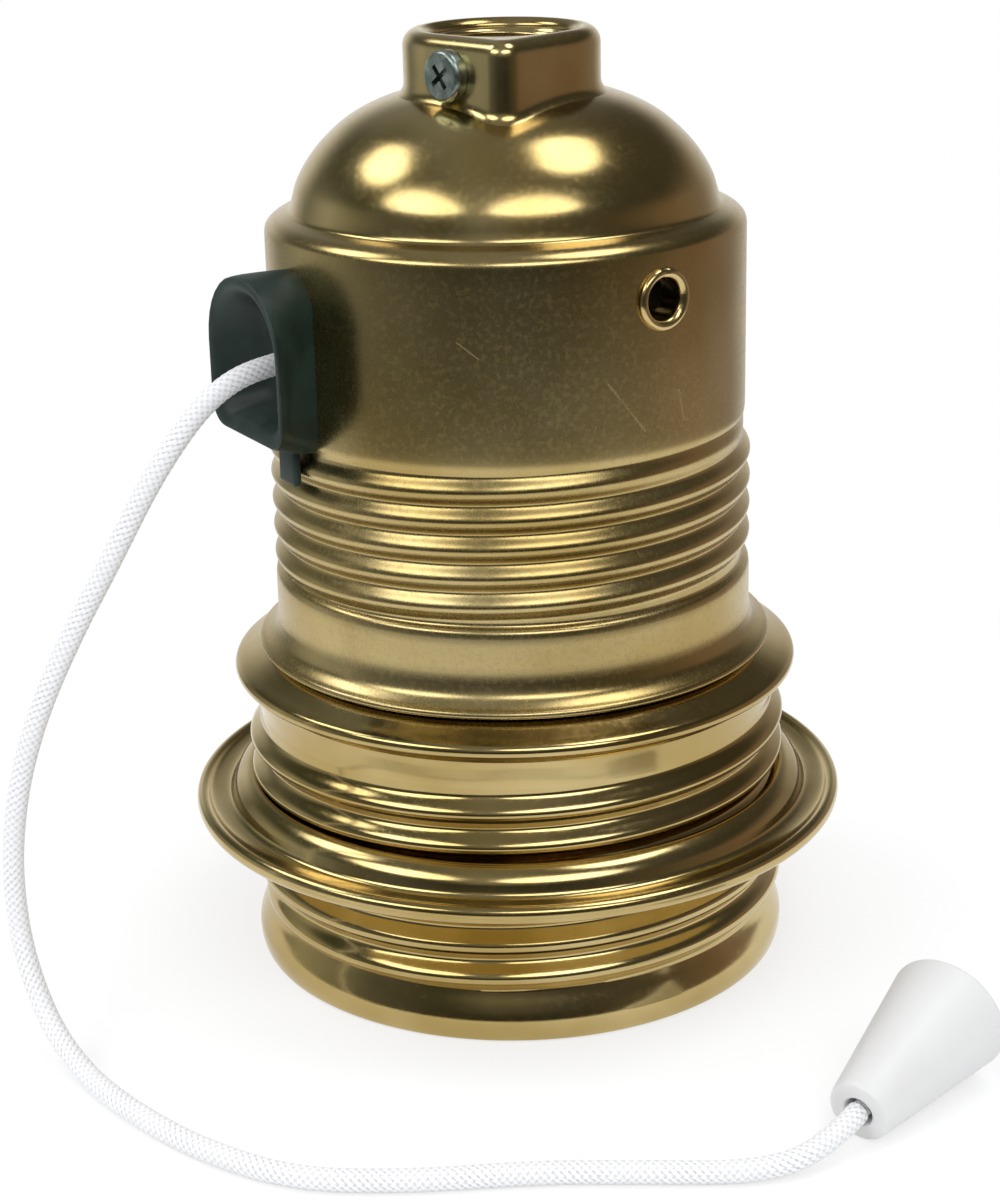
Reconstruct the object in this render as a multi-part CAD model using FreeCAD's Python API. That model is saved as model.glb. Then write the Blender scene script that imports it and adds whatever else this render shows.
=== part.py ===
import FreeCAD, Part
import math
import os

# Metal lamp holder for an E27 lamp, with a pull-cord switch in its barrel and a screw-on shade ring.
# Millimetres. The holder stands mouth down: Z is its axis, Z = 0 is the rim of the mouth, and the
# threaded entry for the hanging tube or flex is at the top. The switch is drawn in a frame of its own,
# whose +X runs out along the pull cord, and is then turned about Z to CORD_ANGLE.

V = FreeCAD.Vector
Z = V(0, 0, 1)

# ---- sheet metal and fits ----
SHEET = 0.5                 # wall of the drawn steel shells
FIT = 0.05                  # gap between faces that are clamped together
RUN = 0.05                  # radial gap of a shaft in its hole
SLIP = 0.1                  # radial gap of screwed or slid rings

# ---- skirt: the lower shell with the shade thread ----
RIM_R = 20.0                # crest of the thread and of the rim bead
RIM_TOP = 2.05
RIM_CURL = 0.4              # the rim's rounding at the table
ROOT_R = RIM_R - 0.9
PITCH = 2.5                 # shade thread M40 x 2.5
THREAD_FOOT = RIM_TOP + 1.65
THREAD_TURNS = 6
THREAD_TOP = THREAD_FOOT + THREAD_TURNS * PITCH
FLANGE_R = RIM_R + 0.8      # folded stop flange above the thread
FLANGE_Z = THREAD_TOP + 3.6
FLANGE_HALF = 0.55
FLANGE_NOSE = 0.4           # rounding of the fold

# ---- cap: neck, dome, barrel and rolled thread in one drawing ----
BARREL_R = 17.0
CAP_THREAD_R = BARREL_R + 0.4   # crests; the roots stay at the barrel's radius
CAP_THREAD_PITCH = 1.95
CAP_THREAD_TURNS = 6
FLARE_R = BARREL_R + 1.8    # flared mouth of the cap
FLARE_Z = FLANGE_Z + 2.0
FLARE_RISE = 1.9
FLARE_LIP = 1.1             # height of the flare's rolled lip
CAP_THREAD_FOOT = FLARE_Z + 5.1
CAP_THREAD_TOP = CAP_THREAD_FOOT + CAP_THREAD_TURNS * CAP_THREAD_PITCH
BARREL_FOOT = CAP_THREAD_TOP + 0.2
BARREL_HEIGHT = 13.35
BARREL_TOP = BARREL_FOOT + BARREL_HEIGHT
SHOULDER_IN = 1.9
SHOULDER_R = BARREL_R - SHOULDER_IN
SHOULDER_RISE = 1.45
DOME_RISE = 7.6
DOME_FOOT = BARREL_TOP + SHOULDER_RISE
DOME_TOP = DOME_FOOT + DOME_RISE
NECK_R = 6.85               # round back of the neck
NOSE_R = 1.5                # rounded front corner of the neck
NOSE_Y = NECK_R + 1.0       # from the axis to the centre of that corner
NECK_RISE = 4.3
NECK_TOP = DOME_TOP + NECK_RISE
NECK_EDGE = 0.8             # bevel of the neck's top edge
NECK_ROOT = 2.0             # depth that the neck's outline is drawn into the dome
MOUTH_R = NECK_R - 1.9      # hole left in the neck's turned-in top
SKIRT_NECK_TOP = BARREL_FOOT - 1.8

# ---- shade ring ----
RING_R = RIM_R + 4.25
RING_FOOT = THREAD_FOOT + 7.6
RING_TOP = RING_FOOT + 2.7
RING_SHEET = 1.0
RING_ROLL = 0.55            # radius of the rolled rim

# ---- entry nut and stop screw ----
ENTRY_R = MOUTH_R - 0.35    # wall of the M10 x 1 hole, at the thread's crests
NUT_FLANGE_R = NECK_R + 0.75
NUT_FLANGE_H = 1.1
STOP_HEAD_R = 1.75
STOP_HEAD_T = 0.9
STOP_HEAD_EDGE = 0.4
STOP_SHANK_R = 1.25
STOP_SHANK = NECK_R - ENTRY_R    # backed out, with its tip flush with the entry's wall
STOP_Z = DOME_TOP + 1.8
STOP_ALONG = 2.15           # from the flat's end on the round back to the screw
RECESS_W = 0.5
RECESS_DEPTH = 0.5

# ---- switch ----
CORD_ANGLE = 210.0          # direction of the cord outlet about Z, from +X
CORD_R = 0.75
CORD_Z = BARREL_FOOT + 5.7
LEVER_ARM = 7.8
PIVOT_Z = CORD_Z - LEVER_ARM
SWING = 20.0                # the lever rests this far short of upright and is pulled as far past it
AXLE_R = 1.0
AXLE_HALF = 5.2
CHAMBER_X = 10.5
CHAMBER_Y = 4.6
CHAMBER_FLOOR = PIVOT_Z - 4.2
BODY_R = BARREL_R - 1.4
BODY_TOP = CORD_Z + 2.2
KNOT_R = 1.9
TAB_T = 0.8
TAB_HOLE_R = 1.3
KNOT_GAP = 0.3
LEVER_EYE_R = 2.6
LEVER_W = 1.7
TAB_HALF = 1.9
TAB_OVER = 1.5              # tab beyond the cord, away from the pivot
TAB_UNDER = 2.1
ROTOR_R = 3.7
TEETH = 8
TOOTH_DEPTH = 0.8
DRUM_R = 2.7
BAND_R = DRUM_R + 0.4
LEAF_T = 0.35
LEAF_W = 1.6

# ---- lamp socket ----
SCREW_SHELL_R = 13.3        # inside wall of the lamp's screw shell
SCREW_SHELL_WALL = 0.35
SHELL_FLANGE = 3.3
SHELL_RELIEF = 0.2          # widening of the plain wall above the last turn
CERAMIC_TOP = PIVOT_Z - 6.2
CERAMIC_FLOOR_T = 7.5
FLOOR_Z = CERAMIC_TOP - CERAMIC_FLOOR_T     # ceramic floor above the lamp
CERAMIC_FOOT = 3.0
SCREW_SHELL_FOOT = CERAMIC_FOOT + 0.6
CONTACT_W = 6.0
CONTACT_T = 0.4
CONTACT_DROP = 2.6
CONTACT_AT = 5.0            # from the axis to the centre contact's rivet
CONTACT_TAIL = 2.4
CONTACT_FLAT = 2.2
CONTACT_RUN = 4.8
CONTACT_TIP = 1.6
RIVET_HEAD_R = 1.5
RIVET_HEAD_T = 0.5

# ---- carrier, terminals and fasteners ----
PLATE_T = 0.8
PLATE_R = BARREL_R - 1.8
EYELET_ANGLE = -53.1        # about Z, from +X; the second eyelet is opposite
EYELET_Z = BODY_TOP + 2.4
EYELET_R = 1.65
EYELET_HOLE_R = 1.35
EYELET_LIP_R = 2.1
EYELET_LIP_T = 0.33
EYELET_ROLL = 0.42
EAR_TOP = EYELET_Z + 2.6
EAR_HALF = 14               # degrees each side
BOLT_Y = 7.2                # the two long screws that hold the stack together
BOLT_R = 1.5
BOLT_HEAD_R = 2.4
BOLT_HEAD_T = 1.5
SCREW_SLOT = 0.6
SCREW_SLOT_DEPTH = 0.7
BLOCK_X = 9.0
BLOCK_Y = 4.6
BLOCK_H = 5.0
BLOCK_FLOOR = 0.8
POST_X = 4.6                # from the axis to each terminal
POST_HALF = 2.2
POST_BACK = 2.5
POST_FRONT = 3.2
WIRE_HOLE_R = 1.1
TERMINAL_R = 1.25
TERMINAL_HEAD_R = 2.0
TERMINAL_HEAD_T = 1.4
EARTH_X = 11.5              # from the axis to the earth screw
EARTH_R = 1.5
EARTH_HEAD_R = 2.3
EARTH_HEAD_T = 1.5
WASHER_T = 0.56
WASHER_HALF = 2.3

# ---- cord outlet ----
OUTLET_LOW = CORD_Z - 6.6
OUTLET_HIGH = CORD_Z + 6.1
OUTLET_HALF = 2.7
MOUTH_LOW = CORD_Z - 5.1
MOUTH_HIGH = CORD_Z + 5.9
MOUTH_HALF = 5.5
MOUTH_OUT = BARREL_R + 3.8  # from the axis to the mouth's face
OUTLET_WALL = 1.1
TOP_ROUND = 0.9             # share of the half width that rounds the upper corners
FOOT_ROUND = 0.35
SLOT_LOW = CORD_Z - 4.0
SLOT_HIGH = CORD_Z + 3.6
SLOT_HALF = 2.6
LIP_T = 1.0
LIP_OVER = 0.4
TONGUE_T = 0.7
TONGUE_HALF = 1.2
TONGUE_DROP = 1.8
GUIDE_R = 1.3
CORNER_STEPS = 3            # facets in each rounded corner of the bell mouth

# ---- pull cone ----
CONE_TIP = V(21.3, -33.8, 2.17)
CONE_HEADING = 50.7         # about Z, from +X
CONE_R1 = 2.2
CONE_R2 = 4.3
CONE_LENGTH = 12.0
CONE_POCKET_R = CONE_R2 - 1.7
CONE_POCKET = 6.0
CONE_KNOT_R = 1.7

# Route of the free cord: straight out of the outlet, down in a loose bow to the table, and round
# the front of the holder to the cone.
CORD_ROUTE = [
    (-11.78, -6.80, CORD_Z), (-15.76, -9.10, CORD_Z), (-20.0, -11.4, 45.7), (-24.0, -12.8, 40.7),
    (-27.5, -13.5, 34.4), (-31.1, -14.3, 28.2), (-34.0, -15.1, 21.8), (-35.6, -15.8, 15.0),
    (-35.6, -16.6, 8.2), (-33.6, -19.6, 2.9), (-30.2, -24.4, 0.85), (-26.0, -29.6, 0.78),
    (-21.0, -34.3, 0.78), (-14.9, -37.9, 0.80), (-7.5, -38.4, 0.78), (0.5, -37.7, 0.78),
    (8.0, -38.1, 0.80), (14.4, -38.4, 0.80), (18.68, -37.0, 1.41), (21.3, -33.8, 2.17),
]


# ---- helpers ----

def spin(points):
    """Solid of revolution about Z of a closed outline of (r, z)."""
    outline = [V(r, 0, z) for r, z in points]
    return Part.Face(Part.makePolygon(outline + outline[:1])).revolve(V(0, 0, 0), Z, 360)


def bow(start, middle, end, steps):
    """Points (r, z) after start on the arc through start, middle and end, in equal steps."""
    arc = Part.Arc(V(start[0], start[1], 0), V(middle[0], middle[1], 0), V(end[0], end[1], 0))
    low, high = arc.FirstParameter, arc.LastParameter
    spots = [arc.value(low + (high - low) * step / steps) for step in range(1, steps + 1)]
    return [(spot.x, spot.y) for spot in spots]


def tube(r_in, r_out, z_low, z_high):
    """Round tube about Z."""
    return spin([(r_in, z_low), (r_out, z_low), (r_out, z_high), (r_in, z_high)])


def rod(radius, start, direction, length):
    """Round rod from start along direction."""
    return Part.makeCylinder(radius, length, start, direction)


def block(x_low, x_high, y_low, y_high, z_low, z_high):
    """Box between two corners."""
    return Part.makeBox(x_high - x_low, y_high - y_low, z_high - z_low, V(x_low, y_low, z_low))


def strip(points, thickness, y_low, y_high):
    """Bent strip: the line of points in XZ, thickened to its left, and y_low to y_high wide."""
    left = offset_line(points, thickness)
    outline = [V(x, y_low, z) for x, z in points + left[::-1]]
    face = Part.Face(Part.makePolygon(outline + outline[:1]))
    return face.extrude(V(0, y_high - y_low, 0))


def offset_line(points, distance):
    """The open line of points moved to its left by distance, with mitred corners."""
    normals = []
    for (ax, ay), (bx, by) in zip(points, points[1:]):
        length = math.hypot(bx - ax, by - ay)
        normals.append((-(by - ay) / length, (bx - ax) / length))
    moved = []
    for i, (x, y) in enumerate(points):
        before = normals[max(i - 1, 0)]
        after = normals[min(i, len(normals) - 1)]
        share = 1 + before[0] * after[0] + before[1] * after[1]
        moved.append((x + distance * (before[0] + after[0]) / share,
                      y + distance * (before[1] + after[1]) / share))
    return moved


def turned(shape, angle):
    """Copy of a shape turned about Z by angle degrees."""
    copy = shape.copy()
    copy.rotate(V(0, 0, 0), Z, angle)
    return copy


def at_cord(shape):
    """From the switch's own frame to the holder's."""
    return turned(shape, CORD_ANGLE)


def swung(shape, angle):
    """Copy of a shape turned about the lever's pivot, towards the outlet."""
    copy = shape.copy()
    copy.rotate(V(0, 0, PIVOT_Z), V(0, 1, 0), angle)
    return copy


# ---- cap ----

def neck_outline(inset, z):
    """Face of the neck's outline at height z, moved in by inset: a round back and two flats that meet
    in a rounded nose."""
    big = NECK_R - inset
    small = NOSE_R - inset
    spread = math.acos((big - small) / NOSE_Y)

    def on(radius, y, angle):
        return V(radius * math.sin(angle), y - radius * math.cos(angle), z)

    edges = [
        Part.Arc(on(big, 0, spread), V(0, big, z), on(big, 0, -spread)).toShape(),
        Part.LineSegment(on(big, 0, -spread), on(small, -NOSE_Y, -spread)).toShape(),
        Part.Arc(on(small, -NOSE_Y, -spread), on(small, -NOSE_Y, 0), on(small, -NOSE_Y, spread)).toShape(),
        Part.LineSegment(on(small, -NOSE_Y, spread), on(big, 0, spread)).toShape(),
    ]
    return Part.Face(Part.Wire(edges))


def flat_frame():
    """Foot, outward normal and direction towards the nose of the neck's left flat."""
    spread = math.acos((NECK_R - NOSE_R) / NOSE_Y)
    normal = V(-math.sin(spread), -math.cos(spread), 0)
    along = V(math.cos(spread), -math.sin(spread), 0)
    return normal * NECK_R + V(0, 0, STOP_Z), normal, along


def thread_line(first, second, pitch, turns, foot):
    """Rolled thread as a line of (r, z), upwards: from radius first to second and back in each turn."""
    line = [(first, foot)]
    for turn in range(turns):
        line.append((second, foot + (turn + 0.5) * pitch))
        line.append((first, foot + (turn + 1) * pitch))
    return line


def cap_solid(inset):
    """The cap's outside, or with inset its inside, as a filled body."""
    barrel = BARREL_R - inset
    dome_r = SHOULDER_R - inset
    dome_top = DOME_TOP - inset
    flare = (FLARE_R - 0.5 * inset, FLARE_Z - 0.9 * inset)
    waist = (CAP_THREAD_R + 0.2 - 0.9 * inset, FLARE_Z + FLARE_LIP - 0.4 * inset)
    line = [(0, FLARE_Z - 2 * inset), flare, waist]
    if inset:
        line.append((barrel, CAP_THREAD_FOOT))
    else:
        line.append((CAP_THREAD_R, FLARE_Z + FLARE_RISE))
        line += thread_line(CAP_THREAD_R, BARREL_R, CAP_THREAD_PITCH, CAP_THREAD_TURNS, CAP_THREAD_FOOT)
        line.append((barrel, BARREL_FOOT))
    line.append((barrel, BARREL_TOP - 0.5 * inset))
    shoulder_side = (barrel - 0.3 * SHOULDER_IN, BARREL_TOP + 0.65 * SHOULDER_RISE - inset)
    line += bow(line[-1], shoulder_side, (dome_r, DOME_FOOT - inset), 1 if inset else 2)
    dome_side = (dome_r - 0.225 * (SHOULDER_R - NECK_R), DOME_FOOT + 0.5 * DOME_RISE - 0.5 * inset)
    line += bow(line[-1], dome_side, (NECK_R, dome_top), 3 if inset else 5)
    line.append((0, dome_top))
    return spin(line)


def cap_shell():
    """Neck, dome, barrel, rolled thread and flared mouth, drawn from one blank."""
    neck_foot = DOME_TOP - NECK_ROOT
    neck = neck_outline(0, neck_foot).extrude(V(0, 0, NECK_TOP - neck_foot))
    top_edges = [e for e in neck.Edges if abs(e.BoundBox.ZMin - NECK_TOP) < 1e-6
                 and abs(e.BoundBox.ZMax - NECK_TOP) < 1e-6]
    neck = neck.makeChamfer(NECK_EDGE, top_edges)
    neck_hollow = neck_outline(SHEET, neck_foot - 3).extrude(V(0, 0, NECK_TOP - SHEET - neck_foot + 3))
    shell = cap_solid(0).fuse(neck)
    shell = shell.cut(cap_solid(SHEET)).cut(neck_hollow)
    shell = shell.cut(rod(MOUTH_R, V(0, 0, NECK_TOP - 2 * SHEET), Z, 4 * SHEET))
    foot, normal, along = flat_frame()
    shell = shell.cut(rod(STOP_SHANK_R + RUN, foot + along * STOP_ALONG - normal * 3, normal, 5))
    for side in (0, 180):
        out = V(math.cos(math.radians(EYELET_ANGLE + side)), math.sin(math.radians(EYELET_ANGLE + side)), 0)
        shell = shell.cut(rod(EYELET_R + FIT, out * (BARREL_R - 3) + V(0, 0, EYELET_Z), out, 5))
    slot = block(BARREL_R - 4, BARREL_R + 2, -SLOT_HALF, SLOT_HALF, SLOT_LOW, SLOT_HIGH)
    return shell.cut(at_cord(slot))


def entry_nut():
    """Threaded bush inside the neck, with a flange under the dome."""
    top = NECK_TOP - SHEET - FIT
    foot = DOME_TOP - SHEET - NUT_FLANGE_H - 7 * FIT
    nut = neck_outline(SHEET + FIT, foot).extrude(V(0, 0, top - foot))
    nut = nut.fuse(rod(NUT_FLANGE_R, V(0, 0, foot), Z, NUT_FLANGE_H))
    nut = nut.cut(rod(ENTRY_R, V(0, 0, foot - 1), Z, top - foot + 2))
    flat, normal, along = flat_frame()
    return nut.cut(rod(STOP_SHANK_R + RUN, flat + along * STOP_ALONG - normal * 4.5, normal, 6))


def stop_screw():
    """Cross-recessed screw through the neck's flat, which keeps the tube from turning."""
    flat, normal, along = flat_frame()
    seat = flat + along * STOP_ALONG + normal * 0.02
    screw = rod(STOP_HEAD_R, seat, normal, STOP_HEAD_T)
    rim = [e for e in screw.Edges if abs((e.CenterOfMass - seat).dot(normal) - STOP_HEAD_T) < 1e-6]
    screw = screw.makeFillet(STOP_HEAD_EDGE, rim)
    screw = screw.fuse(rod(STOP_SHANK_R, seat - normal * STOP_SHANK, normal, STOP_SHANK + 0.1))
    floor = seat + normal * (STOP_HEAD_T - RECESS_DEPTH)
    for direction in (along, Z):
        side = direction.cross(normal)
        arm = Part.makeBox(1.2 * STOP_HEAD_R, RECESS_W, 1.0, V(-0.6 * STOP_HEAD_R, -RECESS_W / 2, 0))
        arm = arm.transformGeometry(FreeCAD.Matrix(
            direction.x, side.x, normal.x, floor.x,
            direction.y, side.y, normal.y, floor.y,
            direction.z, side.z, normal.z, floor.z, 0, 0, 0, 1))
        screw = screw.cut(arm)
    return screw


# ---- skirt and shade ring ----

def skirt_shell():
    """Skirt with its neck, folded stop flange, shade thread and rim bead, drawn from one tube."""
    neck_r = BARREL_R - SHEET - SLIP
    wall = ROOT_R - SHEET
    outside = [(ROOT_R, 0), (RIM_R - RIM_CURL, 0), (RIM_R, RIM_CURL), (RIM_R, RIM_TOP)]
    outside += thread_line(ROOT_R, RIM_R, PITCH, THREAD_TURNS, THREAD_FOOT)
    outside.append((ROOT_R, FLANGE_Z - FLANGE_HALF - 0.3))
    outside.append((FLANGE_R - FLANGE_NOSE, FLANGE_Z - FLANGE_HALF))
    outside += bow(outside[-1], (FLANGE_R, FLANGE_Z), (FLANGE_R - FLANGE_NOSE, FLANGE_Z + FLANGE_HALF), 2)
    outside.append((FLARE_R - 0.8, FLARE_Z - 0.9 * SHEET))
    outside.append((neck_r, FLARE_Z + FLARE_LIP + 0.2))
    outside.append((neck_r, SKIRT_NECK_TOP))
    inside = [(neck_r - SHEET, SKIRT_NECK_TOP), (neck_r - SHEET, FLARE_Z + FLARE_LIP)]
    inside.append((wall, FLANGE_Z + SHEET))
    inside.append((wall, SHEET))
    return spin(outside + inside)


def shade_ring():
    """Ring that is screwed up the skirt to clamp a shade against the stop flange."""
    bore = RIM_R + SLIP
    web = RING_FOOT + RING_SHEET
    profile = [(bore, RING_FOOT), (RING_R - RING_ROLL, RING_FOOT)]
    profile += bow(profile[-1], (RING_R, RING_FOOT + 1.1 * RING_ROLL),
                   (RING_R - RING_ROLL, RING_FOOT + 2.4 * RING_ROLL), 3)
    profile.append((RING_R - 2.5 * RING_ROLL, web - 0.15))
    profile.append((bore + 1.5, web))
    profile.append((bore + 1.15, RING_TOP - 0.9))
    profile += bow(profile[-1], (bore + 0.75, RING_TOP - 0.1), (bore, RING_TOP), 2)
    return spin(profile)


# ---- lamp socket ----

def socket_ceramic():
    """Ceramic cup round the lamp's screw shell, with the floor that carries the contacts."""
    wide = ROOT_R - SHEET - 0.3
    narrow = BARREL_R - 2 * SHEET - SLIP - 0.25
    bore = SCREW_SHELL_R + SHELL_RELIEF + SCREW_SHELL_WALL + SLIP
    body = spin([(bore, CERAMIC_FOOT), (wide, CERAMIC_FOOT), (wide, FLANGE_Z), (narrow, FLARE_Z + 0.9),
                 (narrow, CERAMIC_TOP), (0, CERAMIC_TOP), (0, FLOOR_Z), (bore, FLOOR_Z)])
    for hole in contact_rivet_places():
        body = body.cut(rod(EYELET_HOLE_R, V(hole, 0, FLOOR_Z - 1), Z, CERAMIC_TOP - FLOOR_Z + 2))
    for side in (-1, 1):
        body = body.cut(rod(BOLT_R + SLIP, V(0, side * BOLT_Y, FLOOR_Z - 1), Z, CERAMIC_TOP - FLOOR_Z + 2))
    return at_cord(body)


def contact_rivet_places():
    """Places along X of the centre contact's rivet and the screw shell's two rivets."""
    shell = SCREW_SHELL_R - SHELL_FLANGE / 2
    return [-CONTACT_AT, shell, -shell]


def lamp_screw_shell():
    """Plated shell that the lamp screws into, riveted to the ceramic floor by its flange."""
    top = FLOOR_Z - FIT
    turns_top = top - CONTACT_DROP - 2 * CONTACT_T
    plain = SCREW_SHELL_R + SHELL_RELIEF
    shell = spin([(SCREW_SHELL_R, SCREW_SHELL_FOOT), (SCREW_SHELL_R + SCREW_SHELL_WALL, SCREW_SHELL_FOOT),
                  (SCREW_SHELL_R + SCREW_SHELL_WALL, turns_top), (plain + SCREW_SHELL_WALL, turns_top),
                  (plain + SCREW_SHELL_WALL, top), (SCREW_SHELL_R - SHELL_FLANGE, top),
                  (SCREW_SHELL_R - SHELL_FLANGE, top - SCREW_SHELL_WALL), (plain, top - SCREW_SHELL_WALL),
                  (plain, turns_top), (SCREW_SHELL_R, turns_top)])
    for place in contact_rivet_places()[1:]:
        shell = shell.cut(rod(EYELET_HOLE_R - 0.1, V(place, 0, top - 1), Z, 2))
    return at_cord(shell)


def rivet(x, head_top):
    """Rivet through the ceramic floor: a flat head below and a closed head above."""
    shank = EYELET_HOLE_R - 0.2
    body = rod(shank, V(x, 0, head_top - 0.1), Z, CERAMIC_TOP - head_top + 0.2)
    body = body.fuse(rod(RIVET_HEAD_R, V(x, 0, head_top - RIVET_HEAD_T), Z, RIVET_HEAD_T))
    return body.fuse(rod(RIVET_HEAD_R, V(x, 0, CERAMIC_TOP + 0.02), Z, RIVET_HEAD_T))


def shell_rivets():
    """Two rivets that hold the screw shell."""
    head_top = FLOOR_Z - FIT - SCREW_SHELL_WALL - 0.02
    return at_cord(Part.Compound([rivet(x, head_top) for x in contact_rivet_places()[1:]]))


def centre_rivet():
    """Rivet that holds the centre contact and carries the live side up to the switch."""
    return at_cord(rivet(contact_rivet_places()[0], FLOOR_Z - FIT - CONTACT_T - 0.02))


def centre_contact():
    """Springy brass tongue that the lamp's tip pushes up."""
    top = FLOOR_Z - FIT
    foot = contact_rivet_places()[0]
    low = foot + CONTACT_FLAT + CONTACT_RUN
    line = [(foot - CONTACT_TAIL, top), (foot + CONTACT_FLAT, top), (low, top - CONTACT_DROP),
            (low + CONTACT_TIP, top - 0.73 * CONTACT_DROP)]
    tongue = strip(line, -CONTACT_T, -CONTACT_W / 2, CONTACT_W / 2)
    return at_cord(tongue.cut(rod(EYELET_HOLE_R - 0.1, V(foot, 0, top - 2), Z, 3)))


# ---- switch ----

def switch_body():
    """Moulded block with the chamber that the lever and the rotor work in."""
    foot = CERAMIC_TOP + FIT
    body = rod(BODY_R, V(0, 0, foot), Z, BODY_TOP - foot)
    body = body.cut(rod(SCREW_SHELL_R + SCREW_SHELL_WALL, V(0, 0, foot - 1), Z, 1 + RIVET_HEAD_T + 4 * FIT))
    body = body.cut(block(-CHAMBER_X, CHAMBER_X, -CHAMBER_Y, CHAMBER_Y, CHAMBER_FLOOR, BODY_TOP + 1))
    body = body.cut(rod(AXLE_R + 0.02, V(0, -AXLE_HALF - RUN, PIVOT_Z), V(0, 1, 0), 2 * (AXLE_HALF + RUN)))
    slot_y = SLOT_HALF + LIP_OVER + 0.2
    body = body.cut(block(CHAMBER_X - 1, BODY_R + 1, -slot_y, slot_y, SLOT_LOW - 1, BODY_TOP + 1))
    for side in (-1, 1):
        body = body.cut(rod(BOLT_R + SLIP, V(0, side * BOLT_Y, foot - 1), Z, BODY_TOP - foot + 2))
    return at_cord(body)


def lever_axle():
    """Steel pin that the lever and the rotor turn on."""
    return at_cord(rod(AXLE_R, V(0, -AXLE_HALF, PIVOT_Z), V(0, 1, 0), 2 * AXLE_HALF))


def switch_lever():
    """Steel lever: an eye on the axle, an arm, and a cross tab that the cord runs through."""
    y_low = -TAB_HALF - 1.5
    y_high = y_low + TAB_T
    eye = rod(LEVER_EYE_R, V(0, y_low, PIVOT_Z), V(0, 1, 0), TAB_T)
    eye = eye.fuse(block(-LEVER_W, TAB_T / 2, y_low, y_high, PIVOT_Z, CORD_Z + TAB_OVER))
    tab = block(-TAB_T / 2, TAB_T / 2, y_low, TAB_HALF, CORD_Z - TAB_UNDER, CORD_Z + TAB_OVER)
    lever = eye.fuse(tab)
    lever = lever.cut(rod(AXLE_R + RUN, V(0, y_low - 1, PIVOT_Z), V(0, 1, 0), TAB_T + 2))
    reach = LEVER_ARM / ((1 + math.cos(math.radians(SWING))) / 2) - LEVER_ARM
    lever = lever.cut(rod(TAB_HOLE_R, V(-2, 0, CORD_Z + reach), V(1, 0, 0), 4))
    return at_cord(swung(lever, -SWING))


def drive_pawl():
    """Spring finger on the lever that pushes the ratchet round on each pull."""
    tip = ROTOR_R + KNOT_GAP
    line = [(TAB_T / 2 + 0.02, PIVOT_Z + 7.6), (TAB_T / 2 + 0.02, PIVOT_Z + 5.9),
            (2.9, PIVOT_Z + 4.6), (2.9 + 0.35, PIVOT_Z + math.sqrt(tip * tip - 2.9 * 2.9) + 0.2)]
    finger = strip(line, LEAF_T, -2.5, -1.4)
    return at_cord(swung(finger, -SWING))


def switch_rotor():
    """Moulded rotor: a ratchet wheel and the drum that carries the contact band."""
    points = []
    for tooth in range(TEETH):
        angle = 2 * math.pi * tooth / TEETH
        points.append(V(ROTOR_R * math.cos(angle), -2.3, PIVOT_Z + ROTOR_R * math.sin(angle)))
        angle += 0.12
        root = ROTOR_R - TOOTH_DEPTH
        points.append(V(root * math.cos(angle), -2.3, PIVOT_Z + root * math.sin(angle)))
    wheel = Part.Face(Part.makePolygon(points + points[:1])).extrude(V(0, 1.0, 0))
    rotor = wheel.fuse(rod(DRUM_R, V(0, -1.4, PIVOT_Z), V(0, 1, 0), 4.6))
    return at_cord(rotor.cut(rod(AXLE_R + RUN, V(0, -3, PIVOT_Z), V(0, 1, 0), 7)))


def rotor_band():
    """Brass band clipped round part of the drum, which joins the two leaves."""
    inner = DRUM_R + 0.02
    band = Part.makeCylinder(BAND_R, 2.4, V(0, 0.2, PIVOT_Z), V(0, 1, 0), 210)
    band = band.cut(rod(inner, V(0, 0, PIVOT_Z), V(0, 1, 0), 3))
    return at_cord(band)


def contact_leaves():
    """Two bronze leaves that bear on the rotor from both sides."""
    near = BAND_R + 0.15
    line = [(CHAMBER_X - 2, CHAMBER_FLOOR + FIT), (near + 0.7, CHAMBER_FLOOR + FIT),
            (near + 0.02, PIVOT_Z), (near + 0.9, PIVOT_Z + BAND_R)]
    leaf = strip(line, -LEAF_T, 0.6, 0.6 + LEAF_W)
    return at_cord(Part.Compound([leaf, turned_over(leaf)]))


def turned_over(shape):
    """Mirror image of a shape across the lever's plane of swing."""
    return shape.mirror(V(0, 0, 0), V(1, 0, 0))


def return_leaf():
    """Bent leaf spring that pushes the lever back after each pull."""
    wall = CHAMBER_X - FIT
    line = [(wall, PIVOT_Z - 2.5), (wall, PIVOT_Z + 3.0), (wall - 3.0, PIVOT_Z + 5.6), (0.2, PIVOT_Z + 3.2)]
    return at_cord(strip(line, LEAF_T, -3.3, -2.7))


# ---- carrier, terminals and fasteners ----

def sector(r_in, r_out, z_low, z_high, angle, half):
    """Part of a tube that spans half degrees each side of angle."""
    wall = Part.Face(Part.makePolygon([V(r_in, 0, z_low), V(r_out, 0, z_low), V(r_out, 0, z_high),
                                       V(r_in, 0, z_high), V(r_in, 0, z_low)]))
    return turned(wall.revolve(V(0, 0, 0), Z, 2 * half), angle - half)


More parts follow.
